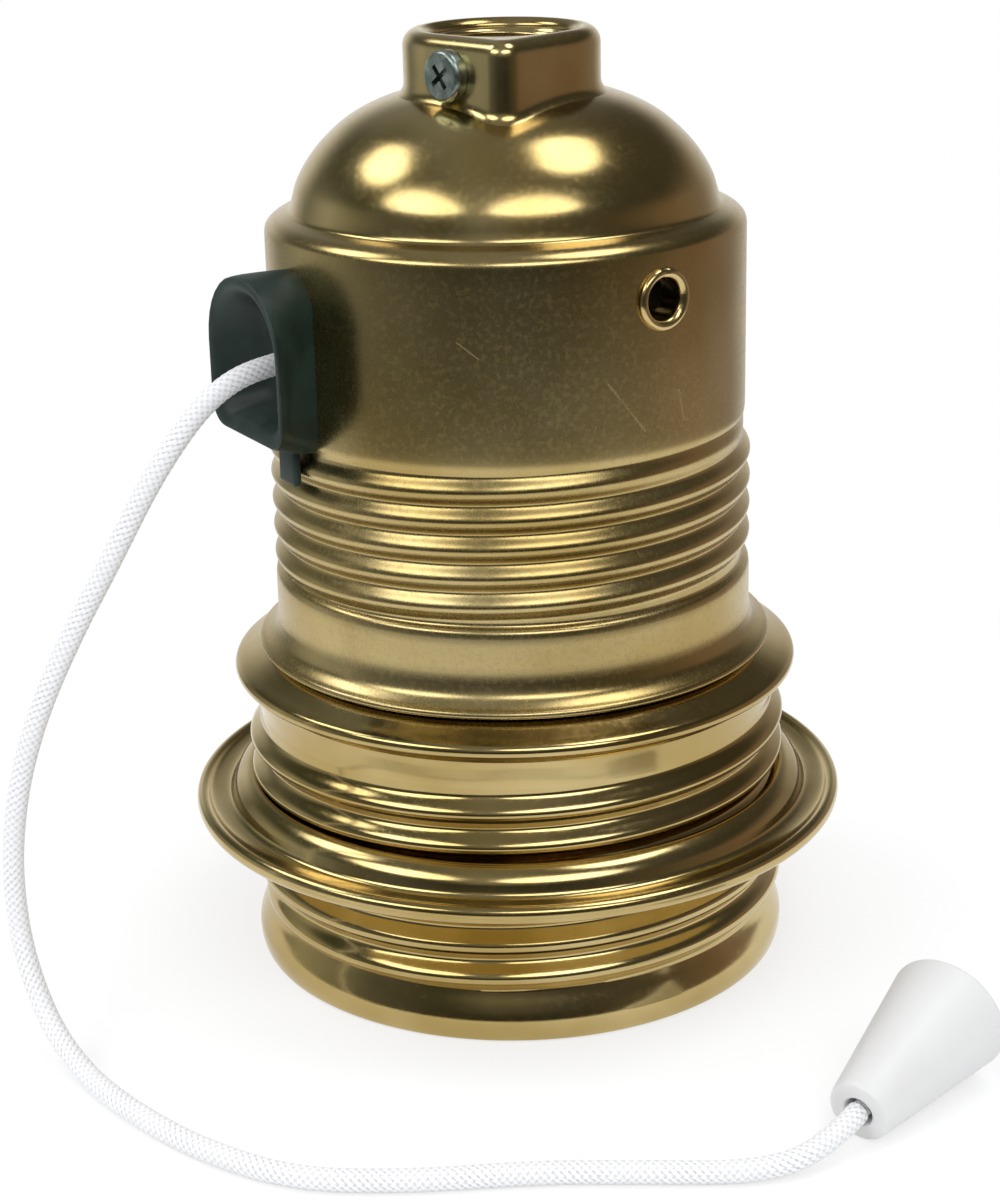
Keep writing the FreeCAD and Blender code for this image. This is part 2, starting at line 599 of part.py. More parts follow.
def carrier_plate():
    """Steel plate across the barrel. Its two ears take the eyelets, and the switch hangs from it."""
    low = BODY_TOP + FIT
    ear_r = BARREL_R - SHEET - FIT
    plate = at_cord(rod(PLATE_R, V(0, 0, low), Z, PLATE_T))
    for side in (0, 180):
        angle = EYELET_ANGLE + side
        plate = plate.fuse(sector(PLATE_R - 2, ear_r, low, low + PLATE_T, angle, EAR_HALF))
        plate = plate.fuse(sector(ear_r - PLATE_T, ear_r, low, EAR_TOP, angle, EAR_HALF))
        out = V(math.cos(math.radians(angle)), math.sin(math.radians(angle)), 0)
        plate = plate.cut(rod(EYELET_R + FIT, out * (ear_r - 3) + V(0, 0, EYELET_Z), out, 5))
        ear_in = ear_r - PLATE_T
        relief = block(ear_in - EYELET_LIP_R, ear_in, -EYELET_R, EYELET_R, low - 1, EYELET_Z)
        plate = plate.cut(turned(relief, angle))
    holes = [rod(BOLT_R + RUN, V(0, side * BOLT_Y, low - 1), Z, 3) for side in (-1, 1)]
    holes.append(rod(EARTH_R + SLIP, V(-EARTH_X, 0, low - 1), Z, 3))
    mouth_y = SLOT_HALF + 2 * LIP_OVER
    mouth = block(PLATE_R - 1.5, PLATE_R + 1, -mouth_y, mouth_y, low - 1, low + 3)
    return plate.cut(at_cord(Part.Compound(holes))).cut(at_cord(mouth))


def body_eyelets():
    """Two tubular rivets that hold the carrier in the barrel, rolled over outside and inside."""
    ear_inside = BARREL_R - SHEET - FIT - PLATE_T
    inner = math.sqrt(ear_inside * ear_inside - EYELET_LIP_R * EYELET_LIP_R) - 0.02
    outer = BARREL_R + 0.03
    profile = [(EYELET_HOLE_R, inner - EYELET_LIP_T), (EYELET_LIP_R, inner - EYELET_LIP_T),
               (EYELET_LIP_R, inner), (EYELET_R, inner), (EYELET_R, outer), (EYELET_LIP_R, outer)]
    side = (EYELET_LIP_R - 0.12, outer + 0.7 * EYELET_ROLL)
    profile += bow(profile[-1], side, (EYELET_R, outer + EYELET_ROLL), 2)
    profile.append((EYELET_HOLE_R, outer + EYELET_ROLL / 2))
    eyelet = spin(profile)
    eyelet.rotate(V(0, 0, 0), V(0, 1, 0), 90)
    eyelet.translate(V(0, 0, EYELET_Z))
    return Part.Compound([turned(eyelet, EYELET_ANGLE), turned(eyelet, EYELET_ANGLE + 180)])


def stack_screws():
    """Two long screws from inside the lamp socket through ceramic and switch into the carrier."""
    screws = []
    head_top = FLOOR_Z - 0.02
    for side in (-1, 1):
        screw = rod(BOLT_R, V(0, side * BOLT_Y, head_top - 0.1), Z, BODY_TOP + FIT + PLATE_T + 0.5 - head_top)
        screw = screw.fuse(rod(BOLT_HEAD_R, V(0, side * BOLT_Y, head_top - BOLT_HEAD_T), Z, BOLT_HEAD_T))
        slot = block(-SCREW_SLOT / 2, SCREW_SLOT / 2, side * BOLT_Y - 3, side * BOLT_Y + 3, head_top - 2,
                     head_top - BOLT_HEAD_T + SCREW_SLOT_DEPTH)
        screws.append(screw.cut(slot))
    return at_cord(Part.Compound(screws))


def terminal_block():
    """Ceramic block on the carrier, with a pocket for each terminal."""
    low = BODY_TOP + FIT + PLATE_T + FIT
    body = block(-BLOCK_X, BLOCK_X, -BLOCK_Y, BLOCK_Y, low, low + BLOCK_H)
    for side in (-1, 1):
        x = side * POST_X
        body = body.cut(block(x - POST_HALF - SLIP, x + POST_HALF + SLIP, -BLOCK_Y - 1, POST_BACK + SLIP,
                              low + BLOCK_FLOOR, low + BLOCK_H + 1))
    return at_cord(body)


def terminal_posts():
    """Two brass terminals, each with a wire hole from above and a screw hole from the side."""
    low = BODY_TOP + FIT + PLATE_T + FIT + BLOCK_FLOOR + FIT
    posts = []
    for side in (-1, 1):
        x = side * POST_X
        post = block(x - POST_HALF, x + POST_HALF, -POST_FRONT, POST_BACK, low, low + BLOCK_H - 0.6)
        post = post.cut(rod(WIRE_HOLE_R, V(x, 0.4, low + 1), Z, BLOCK_H))
        hole = rod(TERMINAL_R + RUN, V(x, -POST_FRONT - 1, low + POST_HALF), V(0, 1, 0), POST_FRONT + 0.8)
        posts.append(post.cut(hole))
    return at_cord(Part.Compound(posts))


def terminal_screws():
    """Two slotted screws that clamp the wires."""
    low = BODY_TOP + FIT + PLATE_T + FIT + BLOCK_FLOOR + FIT
    middle = low + POST_HALF
    head_y = -POST_FRONT - 0.6
    screws = []
    for side in (-1, 1):
        x = side * POST_X
        screw = rod(TERMINAL_R, V(x, head_y - 0.1, middle), V(0, 1, 0), POST_FRONT)
        head_start = V(x, head_y - TERMINAL_HEAD_T, middle)
        screw = screw.fuse(rod(TERMINAL_HEAD_R, head_start, V(0, 1, 0), TERMINAL_HEAD_T))
        slot = block(x - 3, x + 3, head_y - 2, head_y - TERMINAL_HEAD_T + SCREW_SLOT_DEPTH,
                     middle - SCREW_SLOT / 2, middle + SCREW_SLOT / 2)
        screws.append(screw.cut(slot))
    return at_cord(Part.Compound(screws))


def earth_screw():
    """Screw with a wide head that clamps the earth wire to the carrier."""
    low = BODY_TOP + FIT
    place = V(-EARTH_X, 0, 0)
    head = low + PLATE_T + WASHER_T + 2 * 0.02
    screw = rod(EARTH_R, place + V(0, 0, low - 0.02), Z, head + 0.1 - low)
    screw = screw.fuse(rod(EARTH_HEAD_R, place + V(0, 0, head), Z, EARTH_HEAD_T))
    slot_low = head + EARTH_HEAD_T - SCREW_SLOT_DEPTH
    slot = block(-EARTH_X - 3, -EARTH_X + 3, -SCREW_SLOT / 2, SCREW_SLOT / 2, slot_low, head + 3)
    return at_cord(screw.cut(slot))


def earth_washer():
    """Square clamp washer under the earth screw's head."""
    low = BODY_TOP + FIT + PLATE_T
    washer = block(-EARTH_X - WASHER_HALF + 0.4, -EARTH_X + WASHER_HALF - 0.4, -WASHER_HALF, WASHER_HALF,
                   low + 0.02, low + 0.02 + WASHER_T)
    return at_cord(washer.cut(rod(EARTH_R + FIT, V(-EARTH_X, 0, low - 1), Z, 3)))


# ---- cord outlet ----

def oval(x, half, low, high):
    """Wire of an upright outline at distance x along the cord, well rounded above and less below."""
    spots = []
    for quarter, (y, z) in enumerate([(half, high), (-half, high), (-half, low), (half, low)]):
        radius = half * (TOP_ROUND if z == high else FOOT_ROUND)
        radius = min(radius, 0.48 * (high - low))
        centre_y = y - math.copysign(radius, y)
        centre_z = z - radius if z == high else z + radius
        for step in range(CORNER_STEPS + 1):
            angle = math.pi / 2 * (quarter + step / CORNER_STEPS)
            spots.append(V(x, centre_y + radius * math.cos(angle), centre_z + radius * math.sin(angle)))
    return Part.makePolygon(spots + spots[:1])


def cord_outlet():
    """Moulded bell mouth that leads the cord out of the barrel, held by a lip behind the slot."""
    root = BARREL_R - 0.7
    horn = Part.makeLoft([oval(root, OUTLET_HALF, OUTLET_LOW, OUTLET_HIGH),
                          oval(MOUTH_OUT, MOUTH_HALF, MOUTH_LOW, MOUTH_HIGH)], True, True)
    horn = horn.cut(rod(BARREL_R + 0.02, V(0, 0, BARREL_FOOT - 5), Z, BARREL_HEIGHT + 5))
    horn = horn.cut(rod(CAP_THREAD_R + 0.02, V(0, 0, BARREL_FOOT - 5), Z, 5))
    plug_y = SLOT_HALF - FIT
    plug = block(BARREL_R - 1.2, BARREL_R + 0.8, -plug_y, plug_y, SLOT_LOW + FIT, SLOT_HIGH - FIT)
    lip_x = BARREL_R - 1.1
    lip_y = SLOT_HALF + LIP_OVER
    lip = block(lip_x - LIP_T, lip_x, -lip_y, lip_y, SLOT_LOW - 2 * LIP_OVER, BODY_TOP + 0.5)
    body = horn.fuse(plug).fuse(lip)
    throat_r = OUTLET_HALF - OUTLET_WALL
    throat = Part.makeLoft([oval(BARREL_R + 0.5, throat_r - 0.4, CORD_Z - throat_r, CORD_Z + throat_r),
                            oval(MOUTH_OUT + 0.01, MOUTH_HALF - OUTLET_WALL, MOUTH_LOW + OUTLET_WALL,
                                 MOUTH_HIGH - OUTLET_WALL)], True, True)
    body = body.cut(throat)
    body = body.cut(rod(GUIDE_R, V(BARREL_R - 5, 0, CORD_Z), V(1, 0, 0), 8))
    tongue = block(CAP_THREAD_R + 0.02, CAP_THREAD_R + TONGUE_T, -TONGUE_HALF, TONGUE_HALF,
                   OUTLET_LOW - TONGUE_DROP, OUTLET_LOW + 0.6)
    return at_cord(body.fuse(tongue))


# ---- cord and cone ----

def knot_place():
    """Distance along the cord of the knot behind the lever's tab."""
    swing = math.radians(SWING)
    gap = TAB_T / 2 + KNOT_R + KNOT_GAP
    arm = CORD_Z - PIVOT_Z
    rest = (-gap - arm * math.sin(swing)) / math.cos(swing)
    pulled = (-gap + arm * math.sin(swing)) / math.cos(swing)
    return rest, pulled - rest


def cord_path(points):
    """Straight runs joined by tangent arcs. Returns the wire, its length and its arc radii."""
    spots = [V(*p) for p in points]
    edges = []
    radii = []
    here = spots[0]
    for before, corner, after in zip(spots, spots[1:], spots[2:]):
        a = before - corner
        b = after - corner
        turn = math.pi - a.getAngle(b)
        reach = 0.45 * min(a.Length, b.Length)
        radii.append(reach / math.tan(turn / 2))
        a.normalize()
        b.normalize()
        start = corner + a * reach
        end = corner + b * reach
        half = a + b
        half.normalize()
        centre = corner + half * (radii[-1] / math.cos(turn / 2))
        middle = centre - half * radii[-1]
        edges.append(Part.LineSegment(here, start).toShape())
        edges.append(Part.Arc(start, middle, end).toShape())
        here = end
    edges.append(Part.LineSegment(here, spots[-1]).toShape())
    wire = Part.Wire(edges)
    return wire, wire.Length, radii


def pull_cord():
    """The free cord, as a plain tube."""
    wire, length, radii = cord_path(CORD_ROUTE)
    start = V(*CORD_ROUTE[0])
    ring = Part.Wire(Part.makeCircle(CORD_R, start, V(*CORD_ROUTE[1]) - start))
    cord = wire.makePipeShell([ring], True, False)
    print("cord length %.1f, volume share %.4f" % (length, cord.Volume / (math.pi * CORD_R ** 2 * length)))
    print("cord radii", " ".join("%.1f" % r for r in radii))
    return cord


def knotted(radius, reach):
    """Length of cord along +Z from a tight knot about the origin, in one outline."""
    neck = math.sqrt(radius * radius - CORD_R * CORD_R)
    line = [(0, -radius)]
    line += bow((0, -radius), (radius, 0), (CORD_R, neck), 5)
    line += [(CORD_R, reach), (0, reach)]
    return spin(line)


def cord_inner_end():
    """Knotted inner end of the cord, through the lever's tab."""
    rest, travel = knot_place()
    outer_end = math.hypot(CORD_ROUTE[0][0], CORD_ROUTE[0][1])
    end = knotted(KNOT_R, outer_end - rest)
    end.rotate(V(0, 0, 0), V(0, 1, 0), 90)
    end.translate(V(rest, 0, CORD_Z))
    return at_cord(end)


def cone_placed(shape):
    """From the cone's own frame, tip at the origin and length along +Z, to where it lies."""
    lean = math.degrees(math.atan2(CONE_R2 - CONE_R1, CONE_LENGTH))
    shape.rotate(V(0, 0, 0), V(0, 1, 0), 90 - lean)
    shape.rotate(V(0, 0, 0), Z, CONE_HEADING)
    shape.translate(CONE_TIP)
    return shape


def pull_cone():
    """Moulded pull, a truncated cone with a pocket for the knot."""
    cone = Part.makeCone(CONE_R1, CONE_R2, CONE_LENGTH)
    cone = cone.cut(rod(CORD_R + 0.1, V(0, 0, -1), Z, CONE_LENGTH))
    cone = cone.cut(rod(CONE_POCKET_R, V(0, 0, CONE_LENGTH - CONE_POCKET), Z, CONE_POCKET + 1))
    return cone_placed(cone)


def cone_knot():
    """The cord's outer end through the cone, with the knot that holds it."""
    middle = CONE_LENGTH - CONE_POCKET + CONE_KNOT_R + FIT
    end = knotted(CONE_KNOT_R, middle)
    end.rotate(V(0, 0, 0), V(1, 0, 0), 180)
    end.translate(V(0, 0, middle))
    return cone_placed(end)


PARTS = [
    cap_shell, entry_nut, stop_screw, skirt_shell, shade_ring, socket_ceramic, lamp_screw_shell,
    shell_rivets, centre_rivet, centre_contact, switch_body, lever_axle, switch_lever, drive_pawl,
    switch_rotor, rotor_band, contact_leaves, return_leaf, carrier_plate, body_eyelets, stack_screws,
    terminal_block, terminal_posts, terminal_screws, earth_screw, earth_washer, cord_outlet,
    pull_cord, cord_inner_end, pull_cone, cone_knot,
]

os.makedirs("parts", exist_ok=True)
for maker in PARTS:
    shape = maker()
    shape.exportStep("parts/%s.step" % maker.__name__)
    if not shape.isValid():
        print("not valid:", maker.__name__)
print("knot place and travel", knot_place())
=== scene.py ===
import math

import bmesh
import bpy
from mathutils import Matrix, Vector
from mathutils.geometry import interpolate_bezier


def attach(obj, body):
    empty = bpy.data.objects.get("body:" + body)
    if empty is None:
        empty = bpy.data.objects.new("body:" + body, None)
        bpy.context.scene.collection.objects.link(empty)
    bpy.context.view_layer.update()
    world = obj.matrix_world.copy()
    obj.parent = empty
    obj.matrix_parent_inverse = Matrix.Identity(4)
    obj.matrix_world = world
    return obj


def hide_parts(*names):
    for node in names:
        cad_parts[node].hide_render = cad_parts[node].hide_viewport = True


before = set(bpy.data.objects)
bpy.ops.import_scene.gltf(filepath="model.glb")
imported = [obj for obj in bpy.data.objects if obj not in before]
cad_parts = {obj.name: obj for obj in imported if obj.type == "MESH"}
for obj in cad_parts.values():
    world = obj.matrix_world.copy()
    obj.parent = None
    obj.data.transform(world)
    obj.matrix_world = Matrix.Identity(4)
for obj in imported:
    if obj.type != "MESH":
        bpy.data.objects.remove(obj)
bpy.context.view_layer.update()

# ---------------------------------------------------------------------------------------------
# Cap. Neck, dome, barrel, rolled thread and flared mouth, all drawn from one disc of thin steel
# and plated with brass. The rolled thread screws onto the skirt, and the neck takes the entry.

MM = 0.001
SHEET = 0.45

BARREL_R = 17.0
THREAD_ROOT_R = 16.85
BAND_R = 17.4
THREAD_PITCH = 2.02
FIRST_RIB_Z = 31.5          # the lowest rib of the rolled thread, at the front
RIBS = 5

NECK_BACK_R = 6.85
NOSE_R = 1.5
NOSE_OUT = 7.85             # from the axis to the centre of the rounded nose
NECK_TOP = 68.0
NECK_EDGE = 1.1             # radius of the neck's upper edge
NECK_FILLET = 0.75
MOUTH_R = 4.95
MOUTH_INSET = 1.3

EYELET_ANGLE = math.radians(-53.1)
EYELET_Z = 51.6
EYELET_R = 1.65
CORD_ANGLE = math.radians(210)
CORD_Z = 47.0
CORD_HOLE_R = 1.5
DRILL_LENGTH = 4

BRASS_DEEP = (0.43, 0.315, 0.115, 1)
BRASS_PALE = (0.56, 0.44, 0.205, 1)


def soft_line(spots, steps):
    """Points on a soft curve through the spots (r, z)."""
    flat = [Vector((r, z, 0)) for r, z in spots]
    ends = flat[:1] + flat + flat[-1:]
    line = [flat[0]]
    for before, here, there, after in zip(ends, ends[1:], ends[2:], ends[3:]):
        leaving = here + (there - before) / 6
        arriving = there - (after - here) / 6
        line += interpolate_bezier(here, leaving, arriving, there, steps + 1)[1:]
    return [(p.x, p.y) for p in line]


def even_line(low, high, step):
    """Points (r, z) on the straight run from low to high, both left out."""
    count = max(1, round(math.dist(low, high) / step))
    return [(low[0] + (high[0] - low[0]) * i / count, low[1] + (high[1] - low[1]) * i / count)
            for i in range(1, count)]


def spun(line, steps, closed=False):
    """A sheet turned about the holder's axis from a line of (r, z) in millimetres."""
    bm = bmesh.new()
    verts = [bm.verts.new((r * MM, 0, z * MM)) for r, z in line]
    pairs = zip(verts, verts[1:] + verts[:1]) if closed else zip(verts, verts[1:])
    edges = [bm.edges.new(pair) for pair in pairs]
    bmesh.ops.spin(bm, geom=verts + edges, cent=(0, 0, 0), axis=(0, 0, 1), dvec=(0, 0, 0),
                   angle=2 * math.pi, steps=steps, use_merge=True, use_duplicate=False)
    bmesh.ops.remove_doubles(bm, verts=bm.verts, dist=1e-7)
    bmesh.ops.recalc_face_normals(bm, faces=bm.faces)
    return bm


def ease(value):
    """0 to 1 with soft ends."""
    value = min(max(value, 0.0), 1.0)
    return value * value * (3 - 2 * value)


def roll_thread(bm, rise, pitch, front_z, start, end, run_out, fullness, reach):
    """Raises one helical rib from the wall of a sheet. The rib has its crest at front_z at the
    front, and runs from turn start to turn end, where it sinks back into the wall."""
    for vert in bm.verts:
        radius = math.hypot(vert.co.x, vert.co.y)
        if not reach[0] < radius / MM < reach[1]:
            continue
        turn = (math.atan2(vert.co.x, -vert.co.y)) / (2 * math.pi)
        lap = (vert.co.z / MM - front_z) / pitch - turn
        rib = round(lap)
        along = rib + turn
        fade = ease((along - start) / run_out) * ease((end - along) / run_out)
        swell = (0.5 + 0.5 * math.cos(2 * math.pi * (lap - rib))) ** fullness
        grown = 1 + rise * MM * fade * swell / radius
        vert.co.x *= grown
        vert.co.y *= grown


def face_outwards(bm, low, high):
    """Turns a sheet's faces outwards, as a face of its wall between two heights shows."""
    wall = next(f for f in bm.faces
                if abs(f.normal.z) < 0.2 and low < f.calc_center_median().z / MM < high)
    side = wall.calc_center_median()
    if wall.normal.dot(Vector((side.x, side.y, 0))) < 0:
        bmesh.ops.reverse_faces(bm, faces=bm.faces)


def as_object(bm, name):
    """Makes the finished mesh an object at the origin."""
    mesh = bpy.data.meshes.new(name)
    bm.to_mesh(mesh)
    bm.free()
    made = bpy.data.objects.new(name, mesh)
    bpy.context.collection.objects.link(made)
    return made


def smooth(piece, sharp):
    """Smooths a piece, except along edges that turn by more than sharp degrees."""
    piece.data.shade_smooth()
    piece.data.set_sharp_from_angle(angle=math.radians(sharp))


def as_piece(bm, name, body, sharp):
    """Makes the finished mesh a smoothed piece that rides on a body."""
    piece = as_object(bm, name)
    smooth(piece, sharp)
    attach(piece, body)
    return piece


def cut_out(piece, cutter):
    """Cuts the shape of another object out of a piece, and removes that object."""
    cut = piece.modifiers.new("cut", "BOOLEAN")
    cut.operation = "DIFFERENCE"
    cut.solver = "EXACT"
    cut.object = cutter
    done = piece.evaluated_get(bpy.context.evaluated_depsgraph_get())
    piece.data = bpy.data.meshes.new_from_object(done)
    piece.modifiers.remove(cut)
    bpy.data.objects.remove(cutter)


def bore(piece, angle, height, radius):
    """Drills a round hole through the barrel of a piece."""
    out = Vector((math.cos(angle), math.sin(angle), 0))
    middle = out * BARREL_R + Vector((0, 0, height))
    place = Matrix.Translation(middle * MM) @ out.to_track_quat("Z", "Y").to_matrix().to_4x4()
    drill = bmesh.new()
    bmesh.ops.create_cone(drill, cap_ends=True, segments=48, radius1=radius * MM, radius2=radius * MM,
                          depth=DRILL_LENGTH * MM, matrix=place)
    cut_out(piece, as_object(drill, "drill"))


class Flow:
    """One socket of a finish. Sums written with it add their Math nodes."""

    def __init__(self, tree, socket):
        self.tree = tree
        self.socket = socket

    def node(self, kind, settings=(), sockets=(), output=0):
        """Adds a node: its settings first, then the values or flows of its sockets."""
        made = self.tree.nodes.new(kind)
        for key, value in dict(settings).items():
            if key == "stops":
                ramp = made.color_ramp
                while len(ramp.elements) < len(value):
                    ramp.elements.new(0.5)
                for element, (spot, colour) in zip(ramp.elements, value):
                    element.position = spot
                    element.color = colour
            else:
                setattr(made, key, value)
        for key, value in dict(sockets).items():
            if isinstance(value, Flow):
                self.tree.links.new(value.socket, made.inputs[key])
            else:
                made.inputs[key].default_value = value
        return Flow(self.tree, made.outputs[output])

    def maths(self, operation, first, second=0.0):
        return self.node("ShaderNodeMath", {"operation": operation}, {0: first, 1: second})

    def __add__(self, other):
        return self.maths("ADD", self, other)

    def __sub__(self, other):
        return self.maths("SUBTRACT", self, other)

    def __rsub__(self, other):
        return self.maths("SUBTRACT", other, self)

    def __mul__(self, other):
        return self.maths("MULTIPLY", self, other)

    __radd__ = __add__
    __rmul__ = __mul__

    def step(self, low, high):
        """0 below low, 1 above high, soft between. With low above high it falls."""
        return self.node("ShaderNodeMapRange", {"interpolation_type": "SMOOTHSTEP"},
                         {"Value": self, "From Min": low, "From Max": high})

    def noise(self, scale, detail, roughness):
        return self.node("ShaderNodeTexNoise", {}, {
            "Vector": self, "Scale": scale, "Detail": detail, "Roughness": roughness}, "Fac")

    def stretched(self, x, y, z):
        return self.node("ShaderNodeMapping", {}, {"Vector": self, "Scale": (x, y, z)})

    def blend(self, low, high):
        """Colour low where the flow is 0 and high where it is 1."""
        return self.node("ShaderNodeMix", {"data_type": "RGBA"}, {0: self, 6: low, 7: high}, 2)

    def bump(self, depth, strength):
        """Dents of that depth in millimetres."""
        return self.node("ShaderNodeBump", {}, {
            "Strength": strength, "Distance": depth * MM, "Height": self})

    def feed(self, socket, node="Principled BSDF"):
        self.tree.links.new(self.socket, self.tree.nodes[node].inputs[socket])


def new_finish(name, constants):
    """A material and the flow of its object coordinates, with constants on the shader."""
    material = bpy.data.materials.new(name)
    material.use_nodes = True
    shader = material.node_tree.nodes["Principled BSDF"]
    for socket, value in constants.items():
        shader.inputs[socket].default_value = value
    start = Flow(material.node_tree, None)
    return material, start.node("ShaderNodeTexCoord", output="Object")


def dress(piece, material):
    """Gives a piece or a solid its one material."""
    if piece.data.materials:
        for slot in piece.material_slots:
            slot.material = material
    else:
        piece.data.materials.append(material)


DOME_FOOT = 0.0540          # in metres: the barrel ends here, and the dome starts a little higher
DOME_START = 0.0556


def brass_plating(name, gloss, grain, scratches=(), satin=0.0):
    """Brass plating on drawn steel: faint stipple from the press, tarnish clouds, rubbed specks.
    Scratches are (first, last, width), and satin dulls what lies below the dome."""
    material, place = new_finish(name, {"Metallic": 1.0})
    clouds = place.noise(70, 3, 0.55)
    specks = place.noise(2600, 2, 0.6)
    stipple = place.noise(1500, 3, 0.6)
    clouds.step(0.35, 0.68).blend(BRASS_DEEP, BRASS_PALE).feed("Base Color")
    rough = gloss + 0.07 * clouds + 0.06 * specks.step(0.45, 0.75)
    up = place.node("ShaderNodeSeparateXYZ", {}, {0: place}, "Z")
    rough = rough + satin * (1 - up.step(DOME_FOOT, DOME_START))
    dents = stipple * grain
    for first, last, width in scratches:
        spot = place.node("ShaderNodeVectorMath", {"operation": "SUBTRACT"}, {0: place, 1: first})
        run = Vector(last) - Vector(first)
        share = place.node("ShaderNodeVectorMath", {"operation": "DOT_PRODUCT"},
                           {0: spot, 1: run / run.length_squared}, 1)
        share = share.node("ShaderNodeClamp", {}, {0: share})
        foot = place.node("ShaderNodeVectorMath", {"operation": "SCALE"}, {0: run, 3: share})
        away = place.node("ShaderNodeVectorMath", {"operation": "DISTANCE"}, {0: spot, 1: foot}, 1)
        mark = away.step(width * MM, 0.3 * width * MM)
        rough = rough + 0.12 * mark
        dents = dents - 0.8 * mark
    rough.feed("Roughness")
    dents.bump(0.012, 0.55).feed("Normal")
    return material


def neck_ring(bm, inset, height, to_circle=0.0, circle=1.0):
    """One ring of the neck: a round back and two flats that meet in a rounded nose, drawn in by
    inset, and drawn towards a circle by the share to_circle."""
    big = NECK_BACK_R - inset
    small = NOSE_R - inset
    spread = math.acos((NECK_BACK_R - NOSE_R) / NOSE_OUT)
    spots = []
    for i in range(73):
        angle = spread + (2 * math.pi - 2 * spread) * i / 72
        spots.append(Vector((big * math.sin(angle), -big * math.cos(angle))))
    nose = []
    for i in range(17):
        angle = -spread + 2 * spread * i / 16
        nose.append(Vector((small * math.sin(angle), -NOSE_OUT - small * math.cos(angle))))
    left = [spots[-1].lerp(nose[0], i / 9) for i in range(1, 9)]
    right = [nose[-1].lerp(spots[0], i / 9) for i in range(1, 9)]
    verts = []
    for spot in spots + left + nose + right:
        round_spot = spot.normalized() * circle
        x, y = spot.lerp(round_spot, to_circle)
        z = height(math.hypot(x, y)) if callable(height) else height
        verts.append(bm.verts.new((x * MM, y * MM, z * MM)))
    return [bm.edges.new(pair) for pair in zip(verts, verts[1:] + verts[:1])]


dome_spots = [(15.1, 56.1), (14.6, 57.75), (13.75, 59.2), (12.65, 60.5), (11.0, 61.9), (9.0, 62.95),
              (6.9, 63.62), (5.6, 63.85)]


def dome_height(radius):
    """Height of the dome's outside at a radius."""
    for (r_out, z_out), (r_in, z_in) in zip(dome_spots, dome_spots[1:]):
        if r_in <= radius <= r_out:
            return z_in + (z_out - z_in) * (radius - r_in) / (r_out - r_in)
    return dome_spots[-1][1]


cap_line = soft_line([(18.5, 24.0), (18.85, 24.15), (18.8, 24.5), (18.35, 24.75), (17.75, 25.3),
                      (17.45, 26.2)], 4)
cap_line += even_line((17.4, 26.4), (BAND_R, 29.2), 0.5)
cap_line += soft_line([(BAND_R, 29.3), (17.3, 29.75), (THREAD_ROOT_R + 0.06, 30.05)], 4)
cap_line += even_line((THREAD_ROOT_R, 30.1), (THREAD_ROOT_R, 40.5), 0.11)
cap_line += soft_line([(THREAD_ROOT_R, 40.55), (16.9, 40.8), (16.98, 41.2), (BARREL_R, 42.0)], 4)
cap_line += even_line((BARREL_R, 42.0), (BARREL_R, 54.3), 1.1)
cap_line += soft_line([(BARREL_R, 54.3), (16.93, 54.75), (16.65, 55.12), (16.2, 55.42), (15.6, 55.66),
                       (15.32, 55.78), (15.16, 55.98), (15.02, 56.4)], 4)
cap_line += soft_line([(15.02, 56.4)] + dome_spots[1:], 7)[1:]

shell = spun(cap_line, 160)
face_outwards(shell, 45, 50)
roll_thread(shell, BAND_R - THREAD_ROOT_R, THREAD_PITCH, FIRST_RIB_Z, -0.75, RIBS - 0.72, 0.3, 0.75,
            (THREAD_ROOT_R - 0.05, THREAD_ROOT_R + 0.04))
bmesh.ops.solidify(shell, geom=shell.faces[:], thickness=SHEET * MM)

neck = bmesh.new()
levels = []
for i in range(5):
    angle = math.pi / 2 * i / 4
    out = NECK_FILLET * (1 - math.sin(angle))
    up = NECK_FILLET * (1 - math.cos(angle))
    levels.append(neck_ring(neck, -out, lambda r, up=up: dome_height(r) + up - 0.04))
levels.append(neck_ring(neck, 0, 65.0))
levels.append(neck_ring(neck, 0, NECK_TOP - NECK_EDGE))
for i in range(1, 6):
    angle = math.pi / 2 * i / 5
    levels.append(neck_ring(neck, NECK_EDGE * (1 - math.cos(angle)),
                            NECK_TOP - NECK_EDGE * (1 - math.sin(angle))))
for drop, to_circle, wider in ((0.03, 0.35, 0.55), (0.1, 1.0, 0.5), (0.24, 1.0, 0.15), (0.5, 1.0, 0),
                               (0.95, 1.0, 0)):
    levels.append(neck_ring(neck, MOUTH_INSET, NECK_TOP - drop, to_circle, MOUTH_R + wider))
for lower, upper in zip(levels, levels[1:]):
    bmesh.ops.bridge_loops(neck, edges=lower + upper)
bmesh.ops.recalc_face_normals(neck, faces=neck.faces)
if sum(f.normal.dot(f.calc_center_median() - Vector((0, 0, 0.066))) for f in neck.faces) < 0:
    bmesh.ops.reverse_faces(neck, faces=neck.faces)
bmesh.ops.solidify(neck, geom=neck.faces[:], thickness=SHEET * MM)

cap = as_piece(shell, "cap", "holder", 40)
bore(cap, CORD_ANGLE, CORD_Z, CORD_HOLE_R)
for angle in (EYELET_ANGLE, EYELET_ANGLE + math.pi):
    bore(cap, angle, EYELET_Z, EYELET_R + 0.05)
neck.from_mesh(cap.data)
neck.to_mesh(cap.data)
neck.free()
smooth(cap, 40)
barrel_marks = [
    ((0.00640, -0.01575, 0.0464), (0.00890, -0.01448, 0.0428), 0.10),
    ((0.01130, -0.01270, 0.0451), (0.01165, -0.01238, 0.0430), 0.12),
    ((-0.0035, -0.01664, 0.0497), (-0.0021, -0.01687, 0.0486), 0.06),
]
dress(cap, brass_plating("cap_brass", 0.15, 0.4, barrel_marks, 0.07))
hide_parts("cap_shell")


